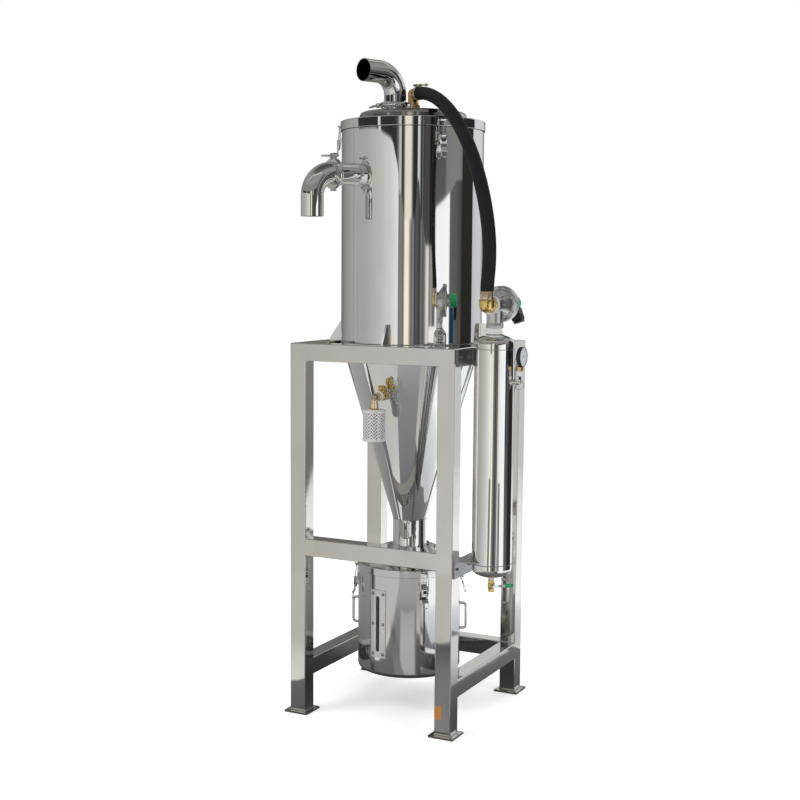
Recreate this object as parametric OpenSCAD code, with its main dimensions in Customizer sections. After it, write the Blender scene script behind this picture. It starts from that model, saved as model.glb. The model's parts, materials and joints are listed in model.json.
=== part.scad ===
// Pulse dust collector on a square-tube frame: a round filter body with a hopper cone, a removable
// drum below it, a compressed-air tank at one side and a hose from its pulse valve to the lid.
// The origin is on the floor under the body's axis. Angles are measured from the front (-Y) towards +X.

/* [Frame] */
// Height of the frame's top above the floor
frame_h = 1300; // [1150:10:1500]
// Side of the square tube
tube = 60; // [40:2:80]
// Underside of the front middle rail
mid_rail_z = 563; // [555:1:640]
// Underside of the low rails
low_rail_z = 128; // [60:1:260]
// Gap between the body and the rails round it
body_gap = 2.5; // [1:0.5:30]
// How far a foot plate stands out past its leg
foot_rim = 15; // [14:1:25]
// Thickness of a foot plate
foot_t = 8; // [5:1:15]
// Radius of a bolt hole in a foot plate
foot_hole_r = 4.5; // [3:0.5:5]
// Distance of a hole's centre from the foot plate's edges
foot_hole_inset = 7.5; // [6:0.5:9]

/* [Body] */
// Outside radius of the body
body_r = 247.5; // [200:0.5:300]
// Thickness of the sheet in the body, cone, drum and tank
sheet = 3; // [2:0.5:5]
// Height of the body from the frame's top to the lid rim
body_h = 728; // [600:1:900]
// Height of the lid's rim
rim_h = 32; // [24:1:44]
// How far a rim stands out past its shell
rim_out = 4; // [3.5:0.5:7]
// Radius of the lid's top cover
cover_r = 186; // [165:1:200]
// Height of the top cover
cover_h = 32; // [20:1:60]
// Radius of the top cover's rounded edge
cover_round = 14; // [6:1:18]
// Direction of the first gusset
gusset_dir = 8; // [0:1:14]
// Thickness of a gusset
gusset_t = 6; // [4:1:10]
// Height of a gusset above the frame
gusset_h = 69; // [40:1:100]
// Length of a gusset's top edge
gusset_top = 18; // [8:1:30]

/* [Cone and neck] */
// Length of the neck between the cone and the flanges
neck_len = 102; // [60:1:160]
// Outside radius of the neck
neck_r = 60.5; // [45:0.5:75]
// Radius of the neck flanges
flange_r = 100; // [94:1:110]
// Thickness of one neck flange
flange_t = 11; // [8:1:14]
// Gap filled by the neck pipe between the drum lid and the flange pair
neck_low = 30; // [20:1:34]
// Radius of the circle of flange bolts
flange_bolt_r = 82; // [78:1:84]
// Number of flange bolts
flange_bolts = 8; // [4:1:12]

/* [Drum] */
// Outside radius of the drum
drum_r = 183; // [160:1:190]
// Underside of the drum above the floor
drum_z = 132; // [100:1:200]
// Height of the drum below its lid
drum_h = 358; // [320:1:370]
// Height of the drum lid's band
drum_lid_h = 26; // [18:1:34]
// Radius of the drum's bottom edge
drum_round = 16; // [6:1:24]
// Direction of the sight plate
sight_dir = -9.5; // [-14:0.5:14]
// Width of the sight plate
sight_w = 62; // [50:1:80]
// Height of the sight plate
sight_h = 240; // [180:1:270]
// Height of the sight plate's centre above the drum's underside
sight_up = 188; // [150:1:200]
// Width of the sight glass
glass_w = 15.5; // [8:0.5:24]
// Length of the sight glass
glass_h = 198; // [120:1:210]
// Height of a drum handle
handle_h = 100; // [80:1:140]
// Reach of a drum handle out from the drum
handle_out = 28; // [22:1:36]
// Height of the handles' centre above the drum's underside
handle_up = 193; // [150:1:220]

/* [Pipes] */
// Outside radius of the inlet and outlet pipes
pipe_r = 38; // [30:0.5:45]
// Wall of the inlet and outlet pipes
pipe_wall = 2; // [1.5:0.5:4]
// Bend radius of both elbows
bend_r = 76; // [66:1:100]
// Direction of the inlet
inlet_dir = -26; // [-32:1:-20]
// Height of the inlet's axis above the frame's top
inlet_up = 571; // [400:1:590]
// Distance of the inlet's clamp from the body
inlet_reach = 86.5; // [60:0.5:110]
// Straight length under the inlet elbow
inlet_drop = 68; // [40:1:120]
// Direction of the outlet
outlet_dir = -22.3; // [-30:0.1:-16]
// Distance of the outlet's stub from the body's axis
outlet_off = 82; // [78:1:100]
// Height of the outlet's clamp above the top cover
outlet_lift = 20; // [18:1:50]
// Straight length under the outlet elbow
outlet_rise = 32; // [24:1:60]
// Straight length at the outlet's mouth
outlet_len = 65; // [40:1:120]
// How far a pipe ferrule stands out past the pipe
ferrule_out = 7.5; // [5:0.5:10]
// Thickness of one ferrule
ferrule_t = 6; // [5:0.5:8]

/* [Toggle latches] */
// Distance of a lever's pivot from the shell it sits on
pivot_out = 14.5; // [14:0.5:18]
// Depth of a lever's pivot under the loop's bar
latch_reach = 52.3; // [48:0.1:56]
// Height of the loop's bar above the underside of the lid's rim
lid_bar_up = 20.3; // [18:0.1:22]
// Height of the loop's bar above the underside of the drum lid's band
drum_bar_up = 22.3; // [18:0.1:22.5]
// Distance between a lever's two pins
toggle = 14; // [12:0.5:16]
// Radius of a latch's wire and pins
wire_r = 2; // [1.5:0.1:2.3]
// Running clearance of a pin in its hole
pin_gap = 0.06; // [0.02:0.01:0.1]
// Length of a lever below its pivot
lever_len = 54; // [45:1:64]

/* [Air tank] */
// Radius of the air tank
tank_r = 66; // [55:1:72]
// Distance of the tank's axis from the frame's side
tank_gap = 106; // [98:1:130]
// Distance of the tank's axis behind the frame's front
tank_in = 81; // [75:1:120]
// Height of the tank's lower weld above the floor; its upper weld is level with the frame's top
tank_z = 595; // [540:1:700]
// Height of a domed end
dome_h = 49.5; // [40:0.5:60]
// Radius of a domed end's edge
dome_round = 22; // [18:1:26]
// Radius of the white collar on the tank
collar_r = 25.5; // [20:0.5:30]
// Height of the white collar
collar_h = 18.5; // [12:0.5:30]
// Height of the valve's axis above the tank's top
valve_up = 94.5; // [88:0.5:110]
// Radius of the valve's round casting
valve_r = 59; // [50:1:65]
// Width of the upper bracket
bracket_w = 120; // [90:1:140]
// Height of the upper bracket
bracket_h = 57; // [45:1:70]
// Width of the lower bracket
low_bracket_w = 142; // [110:1:160]
// Height of the lower bracket
low_bracket_h = 63; // [45:1:80]
// Thickness of both brackets
bracket_t = 5; // [3:0.5:8]
// Radius of the green coil
coil_r = 25; // [18:1:30]
// Length of the green coil
coil_len = 70; // [50:1:90]
// Length of the pilot housing between the valve's disc and the coil
pilot_len = 41; // [20:1:60]

/* [Air line] */
// Outside radius of the hose
hose_r = 22; // [16:0.5:24]
// Height of the lid's brass boss above the top cover
boss_h = 28; // [20:1:40]
// Height of the hose's upper end above the top cover
hose_up = 65; // [60:1:80]
// Direction in which the hose leaves the lid
hose_dir = 59; // [50:1:70]

/* [Fittings] */
// Radius of the gauge
gauge_r = 32.5; // [25:0.5:36]
// Depth of the gauge's axis below the tank's upper weld
gauge_drop = 22; // [10:1:120]
// Direction of the cone fitting
fitting_dir = 2; // [-10:1:10]
// Depth of the cone fitting below the frame's top
fitting_drop = 172; // [130:1:240]
// Radius of the silencer
silencer_r = 39; // [30:1:42]
// Length of the silencer
silencer_h = 105; // [70:1:140]
// Length of the drain valve's lever
drain_len = 70; // [50:1:90]

/* [Hidden] */
$fn = 64;
eps = 0.01;

// Frame
half = body_r + body_gap + tube;
leg_at = half - tube / 2;
rail_len = 2 * (half - tube);
foot_w = tube + 2 * foot_rim;
foot_hole_at = foot_w / 2 - foot_hole_inset;
gusset_foot = 8;

// Heights of the body, from the floor up
rim_z = frame_h + body_h;
lid_z = rim_z + rim_h;
cover_z = lid_z + cover_h;
rim_r = body_r + rim_out;
shell_gap = 0.3;
drum_lid_z = drum_z + drum_h;
drum_top = drum_lid_z + drum_lid_h;
flange_z = drum_top + neck_low;
flange_top = flange_z + 2 * flange_t;
neck_top = flange_top + neck_len;
cone_h = frame_h - neck_top;
bolt_r = 9;
bolt_h = 7;
drum_lid_r = drum_r + rim_out;

// Inlet and outlet
inlet_z = frame_h + inlet_up;
inlet_face = body_r + inlet_reach;
outlet_face = cover_z + outlet_lift;
ferrule_r = pipe_r + ferrule_out;
clamp_r = ferrule_r + 9.5;
clamp_half = ferrule_t + 7;
clamp_ear = [20, 6, 16];
clamp_gap = 8;
clamp_bolt = [3, 50];
clamp_nut = [7, 12];
clamp_dir = -63;
elbow_tail = 2;

// Latches: directions of the three on the lid and the four on the drum
lid_latches = [49, 169, -71];
drum_latches = [42, 132, -138, -48];
lid_bar_z = rim_z + lid_bar_up;
drum_bar_z = drum_lid_z + drum_bar_up;
ear_half = 8;
cheek_t = 3;
cheek_at = ear_half + 1;
loop_half = cheek_at + cheek_t + 1 + wire_r;
bar_in = pivot_out - rim_out - 5;
bar_rest = wire_r + 0.3;
keeper_t = 3;
keeper_lip = 4;
base_half = 22;
base_low = 31;
base_h = 45;
base_t = 3;
knuckle_r = 5;

// Air tank
tank_x = half + tank_gap;
tank_y = tank_in - half;
tank_top = frame_h;
tank_h = tank_top - tank_z;
tank_peak = tank_top + dome_h;
dome_straight = 0.32 * dome_h;
valve_z = tank_peak + valve_up;
valve_port = 37;
port_r = 30;
disc_y = tank_y + 33;
disc_t = 30;
pilot_r = 24;
pilot_cut = 12;
stem_r = 14;
coil_y = disc_y + disc_t + pilot_len;
plug_size = [34, 34, 50];
plug_low = 43;
plug_in = 3;
plug_tilt = 20;
elbow_y = tank_y - 67;
elbow_r = 25.5;
elbow_h = 19;
ferrule_top = valve_z + 44;
bracket_cut = 25;
bracket_z = frame_h - bracket_h - 3;
low_bracket_top = tank_z + 9;

// Fittings
socket_r = 18;
socket_bore = 11;
fitting_z = frame_h - fitting_drop;
fitting_x = cone_r(fitting_z) + 9;
fitting_len = 60;
silencer_x = fitting_x + 90;
silencer_top = fitting_z - 43;
copper_r = 12.5;
gauge_z = tank_top - gauge_drop;
gauge_x = tank_x + tank_r + 18;
gauge_t = 16;
bezel_t = 5;
nipple_r = 10;
nipple_drop = 83;
nipple_h = 37;
drain_z = tank_z - dome_h - 27;
drain_body_r = 12;
drain_pipe_r = 8;
drain_stem_r = 4;
drain_out = 17;
grip_len = 32;
stem_dir = 45;

// Hose route: its two ends and the bow towards the front
hose_start = [tank_x, elbow_y, ferrule_top];
hose_reach = 22;
hose_end = along(hose_dir, hose_reach, cover_z + hose_up);
hose_handle = 110;
hose_bow_low = [99, -122, 120];
hose_bow_dir = 49.5;
hose_bow = 283;
hose_ctrl = [
  hose_start,
  hose_start + [0, 0, hose_handle],
  hose_start + hose_bow_low,
  along(hose_bow_dir, rim_r + hose_bow, hose_end[2] - 18),
  hose_end + along(hose_dir, 67, 0),
  hose_end
];
hose_rings = 34;
band_gap = 0.6;

// Point in direction dir at radius r and height z
function along(dir, r, z) = [r * sin(dir), -r * cos(dir), z];

// Point at u on the smooth curve of the control points p
function lerp(a, b, u) = a + (b - a) * u;
function curve(p, u) =
  len(p) == 1 ? p[0] : curve([for (i = [0 : len(p) - 2]) lerp(p[i], p[i + 1], u)], u);
function unit(v) = v / norm(v);

// Turns local +X to direction dir
module face(dir) {
  rotate([0, 0, dir - 90]) children();
}

// Round bar along local X from a to b
module bar_x(a, b, r) {
  translate([a, 0, 0]) rotate([0, 90, 0]) cylinder(r = r, h = b - a);
}

// Round bar along local Y, centred
module bar_y(r, h) {
  rotate([90, 0, 0]) cylinder(r = r, h = h, center = true);
}

// Ring or tube standing on z = 0
module ring(r_out, r_in, h) {
  difference() {
    cylinder(r = r_out, h = h);
    translate([0, 0, -1]) cylinder(r = r_in, h = h + 2);
  }
}

// Half section of a pan with a rounded top edge
module pan_2d(r, h, round_r) {
  square([r - round_r, h]);
  square([r, h - round_r]);
  translate([r - round_r, h - round_r]) intersection() {
    circle(r = round_r);
    square(round_r);
  }
}

// Half section of a domed end: a crown arc that runs into an edge arc
module dome_2d(r, h, edge) {
  k = r - edge;
  crown = (h * h + k * k - edge * edge) / (2 * (h - edge));
  meet = k * crown / (crown - edge);
  intersection() {
    translate([0, h - crown]) circle(r = crown);
    square([meet, h]);
  }
  translate([k, 0]) intersection() {
    circle(r = edge);
    translate([-edge, 0]) square([2 * edge, edge]);
  }
}

// Quarter bend of a pipe: starts at the origin going up, ends going along +X
module bend(r, wall) {
  translate([bend_r, 0, 0]) rotate([90, 0, 0]) rotate([0, 0, 90]) rotate_extrude(angle = 90)
    translate([bend_r, 0]) difference() {
      circle(r = r);
      circle(r = r - wall);
    }
}

// Clamp ring about z = 0 with two ears and a bolt on its +X side
module pipe_clamp() {
  difference() {
    translate([0, 0, -clamp_half]) cylinder(r = clamp_r, h = 2 * clamp_half);
    translate([0, 0, -clamp_half - 1]) cylinder(r = pipe_r + 1, h = 2 * clamp_half + 2);
    translate([0, 0, -ferrule_t]) cylinder(r = ferrule_r, h = 2 * ferrule_t);
  }
  translate([clamp_r + clamp_ear[0] / 2 - 2, 0, 0]) {
    for (s = [-1, 1])
      translate([0, s * (clamp_gap + clamp_ear[1]) / 2, 0]) cube(clamp_ear, center = true);
    translate([0, clamp_bolt[1] / 8, 0]) bar_y(clamp_bolt[0], clamp_bolt[1]);
    translate([0, clamp_gap / 2 + clamp_ear[1] + clamp_nut[1], 0]) bar_y(clamp_nut[0], clamp_nut[1]);
  }
}

// Frame
module foot_plates() {
  color("lightgray")
    for (x = [-leg_at, leg_at], y = [-leg_at, leg_at])
      translate([x, y, 0]) difference() {
        translate([-foot_w / 2, -foot_w / 2, 0]) cube([foot_w, foot_w, foot_t]);
        for (a = [-foot_hole_at, foot_hole_at], b = [-foot_hole_at, foot_hole_at])
          translate([a, b, -1]) cylinder(r = foot_hole_r, h = foot_t + 2);
      }
}

module legs() {
  color("silver")
    for (x = [-leg_at, leg_at], y = [-leg_at, leg_at])
      translate([x - tube / 2, y - tube / 2, foot_t]) cube([tube, tube, frame_h - foot_t]);
}

// Rail between two legs on the side turned by a quarter turns, from the front
module rail(z, turn) {
  rotate([0, 0, 90 * turn])
    translate([-rail_len / 2, -half, z]) cube([rail_len, tube, tube]);
}

module top_rails() {
  color("silver") for (turn = [0 : 3]) rail(frame_h - tube, turn);
}

module mid_rail() {
  color("silver") rail(mid_rail_z, 0);
}

module low_rails() {
  color("silver") for (turn = [1 : 3]) rail(low_rail_z, turn);
}

// Gussets stand on the top rails and meet the body, one on each side
module gussets() {
  color("silver")
    for (turn = [0 : 3]) rotate([0, 0, 90 * turn]) {
      base = half / cos(gusset_dir) - gusset_t;
      difference() {
        face(gusset_dir) rotate([90, 0, 0]) translate([0, 0, -gusset_t / 2]) linear_extrude(gusset_t)
          polygon([
            [body_r - sheet, frame_h], [base, frame_h], [base, frame_h + gusset_foot],
            [body_r + gusset_top, frame_h + gusset_h], [body_r - sheet, frame_h + gusset_h]
          ]);
        translate([0, 0, frame_h - 1]) cylinder(r = body_r, h = gusset_h + 2);
      }
    }
}

// Body
module body_shell() {
  top = lid_z - sheet;
  color("gainsboro") difference() {
    translate([0, 0, frame_h]) ring(body_r, body_r - sheet, top - frame_h);
    translate([0, 0, inlet_z]) face(inlet_dir) bar_x(body_r / 2, body_r + 20, pipe_r - pipe_wall);
  }
}

// The cone's surface at height z above the floor
function cone_r(z) = neck_r + (body_r - neck_r) * (z - neck_top) / cone_h;

module hopper_cone() {
  color("gainsboro") difference() {
    union() {
      translate([0, 0, neck_top]) cylinder(r1 = neck_r, r2 = body_r, h = cone_h);
      translate([0, 0, fitting_z]) face(fitting_dir) bar_x(cone_r(fitting_z) - 20, fitting_x, socket_r);
    }
    translate([0, 0, neck_top]) rotate_extrude() polygon([
      [0, -1], [cone_r(neck_top - 1) - sheet, -1],
      [cone_r(frame_h + 1) - sheet, cone_h + 1], [0, cone_h + 1]
    ]);
    translate([0, 0, fitting_z]) face(fitting_dir) bar_x(neck_r, fitting_x + 1, socket_bore);
  }
}

module neck_pipe() {
  color("gainsboro") translate([0, 0, flange_top]) ring(neck_r, neck_r - sheet, neck_top - flange_top);
  color("gainsboro") translate([0, 0, drum_top]) ring(neck_r, neck_r - sheet, flange_z - drum_top);
}

module neck_flange() {
  color("silver") {
    for (z = [flange_z, flange_z + flange_t])
      translate([0, 0, z]) ring(flange_r, neck_r - sheet, flange_t);
    for (i = [0 : flange_bolts - 1])
      rotate([0, 0, (i + 0.5) * 360 / flange_bolts]) translate([flange_bolt_r, 0, 0]) {
        translate([0, 0, flange_top]) cylinder(r = bolt_r, h = bolt_h, $fn = 6);
        translate([0, 0, flange_z - bolt_h]) cylinder(r = bolt_r, h = bolt_h, $fn = 6);
      }
  }
}

// Keeper that holds a latch's loop: a ledge from the rim's face with an upturned lip
module keeper(r_face, z_bar) {
  reach = r_face - rim_out + pivot_out + keeper_t;
  wide = 2 * ear_half + 2;
  top = z_bar - bar_rest;
  difference() {
    union() {
      translate([r_face - 3, -wide / 2, top - keeper_t]) cube([reach - r_face + 3, wide, keeper_t]);
      translate([reach - keeper_t, -wide / 2, top - keeper_t]) cube([keeper_t, wide, keeper_t + keeper_lip]);
    }
    translate([0, 0, top - keeper_t - 1]) cylinder(r = r_face - 1, h = keeper_t + 6);
  }
}

module lid_rim() {
  color("gainsboro") {
    translate([0, 0, rim_z]) rotate_extrude() difference() {
      square([rim_r, rim_h]);
      translate([-1, -1]) square([body_r + shell_gap + 1, rim_h - sheet + 1]);
      translate([-1, -1]) square([cover_r - cover_round + 1, rim_h + 2]);
    }
    for (dir = lid_latches) face(dir) keeper(rim_r, lid_bar_z);
  }
}

module lid_cover() {
  color("gainsboro") difference() {
    translate([0, 0, lid_z]) rotate_extrude() difference() {
      pan_2d(cover_r, cover_h, cover_round);
      translate([0, -eps]) pan_2d(cover_r - sheet, cover_h - sheet + eps, cover_round - sheet);
    }
    translate(along(outlet_dir, outlet_off, cover_z - cover_h / 2))
      cylinder(r = pipe_r - pipe_wall, h = cover_h);
  }
}

// Inlet
module inlet_stub() {
  color("gainsboro") difference() {
    translate([0, 0, inlet_z]) face(inlet_dir) {
      bar_x(body_r - 20, inlet_face, pipe_r);
      bar_x(inlet_face - ferrule_t, inlet_face, ferrule_r);
    }
    translate([0, 0, inlet_z]) face(inlet_dir) bar_x(body_r - 40, inlet_face + 1, pipe_r - pipe_wall);
    translate([0, 0, inlet_z - 2 * pipe_r]) cylinder(r = body_r, h = 4 * pipe_r);
  }
}

module inlet_clamp() {
  color("silver") face(inlet_dir) translate([inlet_face, 0, inlet_z])
    rotate([0, -90, 0]) mirror([0, 1, 0]) pipe_clamp();
}

module inlet_elbow() {
  x0 = inlet_face + ferrule_t + elbow_tail;
  color("gainsboro") face(inlet_dir) {
    translate([inlet_face, 0, inlet_z]) rotate([0, 90, 0]) {
      ring(pipe_r, pipe_r - pipe_wall, ferrule_t + elbow_tail);
      ring(ferrule_r, pipe_r - pipe_wall, ferrule_t);
    }
    translate([x0, 0, inlet_z]) rotate([0, 90, 0]) bend(pipe_r, pipe_wall);
    translate([x0 + bend_r, 0, inlet_z - bend_r - inlet_drop]) ring(pipe_r, pipe_r - pipe_wall, inlet_drop);
  }
}

// Outlet
module outlet_stub() {
  color("gainsboro") translate(along(outlet_dir, outlet_off, 0)) {
    translate([0, 0, cover_z]) ring(pipe_r, pipe_r - pipe_wall, outlet_lift);
    translate([0, 0, outlet_face - ferrule_t]) ring(ferrule_r, pipe_r - pipe_wall, ferrule_t);
  }
}

module outlet_clamp() {
  color("silver") translate(along(outlet_dir, outlet_off, outlet_face)) face(clamp_dir) pipe_clamp();
}

module outlet_elbow() {
  color("gainsboro") translate(along(outlet_dir, outlet_off, outlet_face)) face(outlet_dir) {
    ring(pipe_r, pipe_r - pipe_wall, outlet_rise);
    ring(ferrule_r, pipe_r - pipe_wall, ferrule_t);
    translate([0, 0, outlet_rise]) bend(pipe_r, pipe_wall);
    translate([bend_r, 0, outlet_rise + bend_r]) rotate([0, 90, 0])
      ring(pipe_r, pipe_r - pipe_wall, outlet_len);
  }
}

// Air line
module lid_boss() {
  color("gold") translate([0, 0, cover_z]) cylinder(r = hose_r + 2, h = boss_h);
}

module lid_hose_elbow() {
  r = hose_r - 1;
  color("goldenrod") {
    translate([0, 0, cover_z + boss_h]) cylinder(r = r, h = hose_up - boss_h);
    intersection() {
      translate([0, 0, cover_z + hose_up]) sphere(r = r);
      translate([-r, -r, cover_z + boss_h]) cube([2 * r, 2 * r, 2 * r]);
    }
    translate([0, 0, cover_z + hose_up]) face(hose_dir) bar_x(0, hose_reach, r - 3);
  }
}

module hose() {
  sides = 16;
  pts = [for (i = [0 : hose_rings]) curve(hose_ctrl, i / hose_rings)];
  last = hose_rings;
  flow = [for (i = [0 : last])
    i == 0 ? [0, 0, 1] : i == last ? -along(hose_dir, 1, 0) : unit(pts[i + 1] - pts[i - 1])];
  aside = along(hose_dir + 90, 1, 0);
  verts = [for (i = [0 : last]) let (u = unit(aside - (aside * flow[i]) * flow[i]), v = cross(flow[i], u))
    for (k = [0 : sides - 1]) pts[i] + hose_r * (cos(360 * k / sides) * u + sin(360 * k / sides) * v)];
  faces = concat(
    [[for (k = [0 : sides - 1]) k]],
    [[for (k = [sides - 1 : -1 : 0]) last * sides + k]],
    [for (i = [0 : last - 1], k = [0 : sides - 1]) let (a = i * sides, n = (k + 1) % sides)
      [a + k, a + sides + k, a + n]],
    [for (i = [0 : last - 1], k = [0 : sides - 1]) let (a = i * sides, n = (k + 1) % sides)
      [a + n, a + sides + k, a + sides + n]]
  );
  color("black") polyhedron(verts, faces);
}

// A band with a screw housing round the hose's upper end
module hose_clamp() {
  u = 0.965;
  at = curve(hose_ctrl, u);
  d = unit(curve(hose_ctrl, u + 0.01) - curve(hose_ctrl, u - 0.01));
  color("silver") translate(at) rotate([0, acos(d[2]), atan2(d[1], d[0])]) rotate([0, 0, 180]) {
    translate([0, 0, -6]) ring(hose_r + 2, hose_r + band_gap, 12);
    translate([hose_r + 1, -11, -7]) cube([9, 22, 14]);
    translate([hose_r + 6, 15, 0]) bar_y(3, 16);
  }
}

module valve_elbow() {
  color("goldenrod") {
    translate([tank_x, elbow_y, valve_z]) sphere(r = elbow_r);
    translate([tank_x, elbow_y, valve_z]) cylinder(r = elbow_r, h = elbow_h);
    translate([tank_x, elbow_y, valve_z]) cylinder(r = hose_r, h = ferrule_top - valve_z);
    translate([tank_x, elbow_y, valve_z]) rotate([-90, 0, 0])
      cylinder(r = elbow_r - 1.5, h = tank_y - valve_port - elbow_y);
  }
}

// Air tank
module tank_collar() {
  color("white") translate([tank_x, tank_y, 0]) difference() {
    translate([0, 0, tank_peak - 10]) cylinder(r = collar_r, h = collar_h + 10);
    translate([0, 0, tank_top]) rotate_extrude() tank_end_2d(0);
  }
}

module air_tank() {
  color("gainsboro") translate([tank_x, tank_y, tank_z]) ring(tank_r, tank_r - sheet, tank_h);
}

// A domed end's outline: a straight part, then the dome
module tank_end_2d(inset) {
  square([tank_r - inset, dome_straight]);
  translate([0, dome_straight])
    dome_2d(tank_r - inset, dome_h - dome_straight - inset, dome_round - inset);
}

module tank_end() {
  rotate_extrude() difference() {
    tank_end_2d(0);
    tank_end_2d(sheet);
  }
}

module tank_ends() {
  color("gainsboro") translate([tank_x, tank_y, 0]) {
    translate([0, 0, tank_top]) tank_end();
    translate([0, 0, tank_z]) mirror([0, 0, 1]) tank_end();
  }
}

// Both brackets are bent plates bolted to the frame's side and welded to the tank
module tank_brackets() {
  color("silver") difference() {
    translate([half, tank_y, 0]) {
      translate([0, -bracket_w / 2, bracket_z]) cube([bracket_t, bracket_w, bracket_h]);
      translate([0, bracket_w / 2 - bracket_t, bracket_z]) cube([tank_gap, bracket_t, bracket_h]);
      translate([0, -low_bracket_w / 2, low_bracket_top - low_bracket_h])
        cube([bracket_t, low_bracket_w, low_bracket_h]);
      translate([0, 0, low_bracket_top - bracket_t]) linear_extrude(bracket_t) polygon([
        [0, -low_bracket_w / 2], [tank_gap - bracket_cut, -low_bracket_w / 2], [tank_gap, -tank_r / 2],
        [tank_gap, tank_r / 2], [tank_gap - bracket_cut, low_bracket_w / 2], [0, low_bracket_w / 2]
      ]);
    }
    translate([tank_x, tank_y, tank_z]) cylinder(r = tank_r, h = tank_h);
  }
}

// The valve's axis runs from its front port to the coil behind
module pulse_valve() {
  neck_z = tank_peak + collar_h;
  back = disc_y - tank_y;
  flare = 14;
  color("silver") {
    translate([tank_x, tank_y, neck_z]) cylinder(r = port_r - 1, h = valve_z - neck_z);
    translate([tank_x, tank_y, valve_z]) rotate([-90, 0, 0]) {
      translate([0, 0, -valve_port]) cylinder(r = port_r, h = valve_port);
      translate([0, 0, -flare]) cylinder(r1 = port_r, r2 = 0.9 * valve_r, h = back + flare);
      translate([0, 0, back]) cylinder(r = valve_r, h = disc_t);
      translate([0, 0, back]) cylinder(r = pilot_r, h = disc_t + pilot_len - pilot_cut);
      translate([0, 0, back]) cylinder(r = stem_r, h = coil_y - disc_y);
    }
  }
}

module valve_coil() {
  color("limegreen") translate([tank_x, coil_y, valve_z]) rotate([-90, 0, 0])
    cylinder(r = coil_r, h = coil_len);
}

// The plug hangs from the coil's far end, leaning away from the frame
module coil_plug() {
  plug_y = coil_y + coil_len - plug_in - plug_size[1] / 2;
  color("black") translate([tank_x, plug_y, valve_z]) difference() {
    rotate([0, -plug_tilt, 0]) translate([0, 0, plug_size[2] / 2 - coil_r - plug_low])
      cube(plug_size, center = true);
    rotate([90, 0, 0]) cylinder(r = coil_r, h = plug_size[1] + 2, center = true);
  }
}

// Ball valve under the tank, its stem pointing out between front and side
module drain_valve() {
  color("goldenrod") translate([tank_x, tank_y, 0]) {
    difference() {
      translate([0, 0, drain_z]) cylinder(r = drain_pipe_r, h = tank_z - drain_z - dome_h / 2);
      translate([0, 0, tank_z]) mirror([0, 0, 1]) rotate_extrude() tank_end_2d(0);
    }
    translate([0, 0, drain_z - 21]) cylinder(r = drain_body_r, h = 39);
    translate([0, 0, drain_z]) face(stem_dir) bar_x(0, drain_out + 9, drain_stem_r);
  }
}

module drain_lever() {
  color("green") translate([tank_x, tank_y, drain_z]) face(stem_dir) difference() {
    union() {
      bar_x(drain_out, drain_out + 5, 2 * drain_stem_r);
      translate([drain_out, 0, -4]) cube([4, drain_len, 8]);
      translate([drain_out - 2, drain_len - grip_len, -7]) cube([8, grip_len, 14]);
    }
    bar_x(drain_out - 1, drain_out + 6, drain_stem_r + pin_gap);
  }
}

// Gauge facing away from the frame, on a fitting from the tank's side
module gauge() {
  color("black") translate([gauge_x, tank_y, gauge_z]) {
    bar_x(2, 2 + gauge_t, gauge_r - 1);
    bar_x(3 + gauge_t - bezel_t, 3 + gauge_t, gauge_r);
    translate([0, 0, nipple_h - nipple_drop]) cylinder(r = 9, h = 14);
    translate([0, 0, nipple_h - nipple_drop]) cylinder(r = 6, h = 36);
    bar_x(-4, 4, 12);
  }
}

module gauge_fitting() {
  color("silver") difference() {
    translate([gauge_x, tank_y, gauge_z - nipple_drop]) {
      sphere(r = nipple_r);
      cylinder(r = nipple_r, h = nipple_h);
      bar_x(tank_x + tank_r / 2 - gauge_x, 0, nipple_r - 1);
    }
    translate([tank_x, tank_y, tank_z]) cylinder(r = tank_r, h = tank_h);
  }
}

// Cone fitting: brass body, copper elbow and a hanging silencer
module cone_fitting() {
  color("goldenrod") translate([0, 0, fitting_z]) face(fitting_dir) {
    bar_x(fitting_x, fitting_x + fitting_len, socket_bore);
    bar_x(fitting_x + 18, fitting_x + 46, 15);
    translate([fitting_x + 32, 0, 0]) cylinder(r = 9, h = 34);
  }
}

module cone_elbow() {
  color("peru") face(fitting_dir) {
    translate([0, 0, fitting_z]) bar_x(fitting_x + fitting_len, silencer_x, copper_r);
    translate([silencer_x, 0, fitting_z]) sphere(r = copper_r);
    translate([silencer_x, 0, silencer_top]) cylinder(r = copper_r, h = fitting_z - silencer_top);
  }
}

module silencer() {
  color("gainsboro") face(fitting_dir)
    translate([silencer_x, 0, silencer_top - silencer_h]) cylinder(r = silencer_r, h = silencer_h);
}

// Drum
module drum_lid() {
  color("silver") {
    translate([0, 0, drum_lid_z]) rotate_extrude() difference() {
      square([drum_lid_r, drum_lid_h]);
      translate([-1, -1]) square([drum_r + shell_gap + 1, drum_lid_h - sheet + 1]);
      translate([-1, -1]) square([neck_r - sheet + 1, drum_lid_h + 2]);
    }
    for (dir = drum_latches) face(dir) keeper(drum_lid_r, drum_bar_z);
  }
}

// Upright slot with round ends, cut along local X
module slot_cut(w, h) {
  translate([0, -w / 2, -h / 2 + w / 2]) cube([2 * drum_r, w, h - w]);
  for (s = [-1, 1])
    translate([0, 0, s * (h - w) / 2]) bar_x(0, 2 * drum_r, w / 2);
}

module drum_shell() {
  z0 = drum_z + drum_round;
  color("silver") difference() {
    translate([0, 0, z0]) ring(drum_r, drum_r - sheet, drum_top - sheet - z0);
    translate([0, 0, drum_z + sight_up]) face(sight_dir) slot_cut(glass_w, glass_h);
  }
}

module drum_bottom() {
  color("silver") translate([0, 0, drum_z + drum_round]) mirror([0, 0, 1]) rotate_extrude() difference() {
    pan_2d(drum_r, drum_round, drum_round - eps);
    translate([0, -eps]) pan_2d(drum_r - sheet, drum_round - sheet + eps, drum_round - sheet - eps);
  }
}

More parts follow.
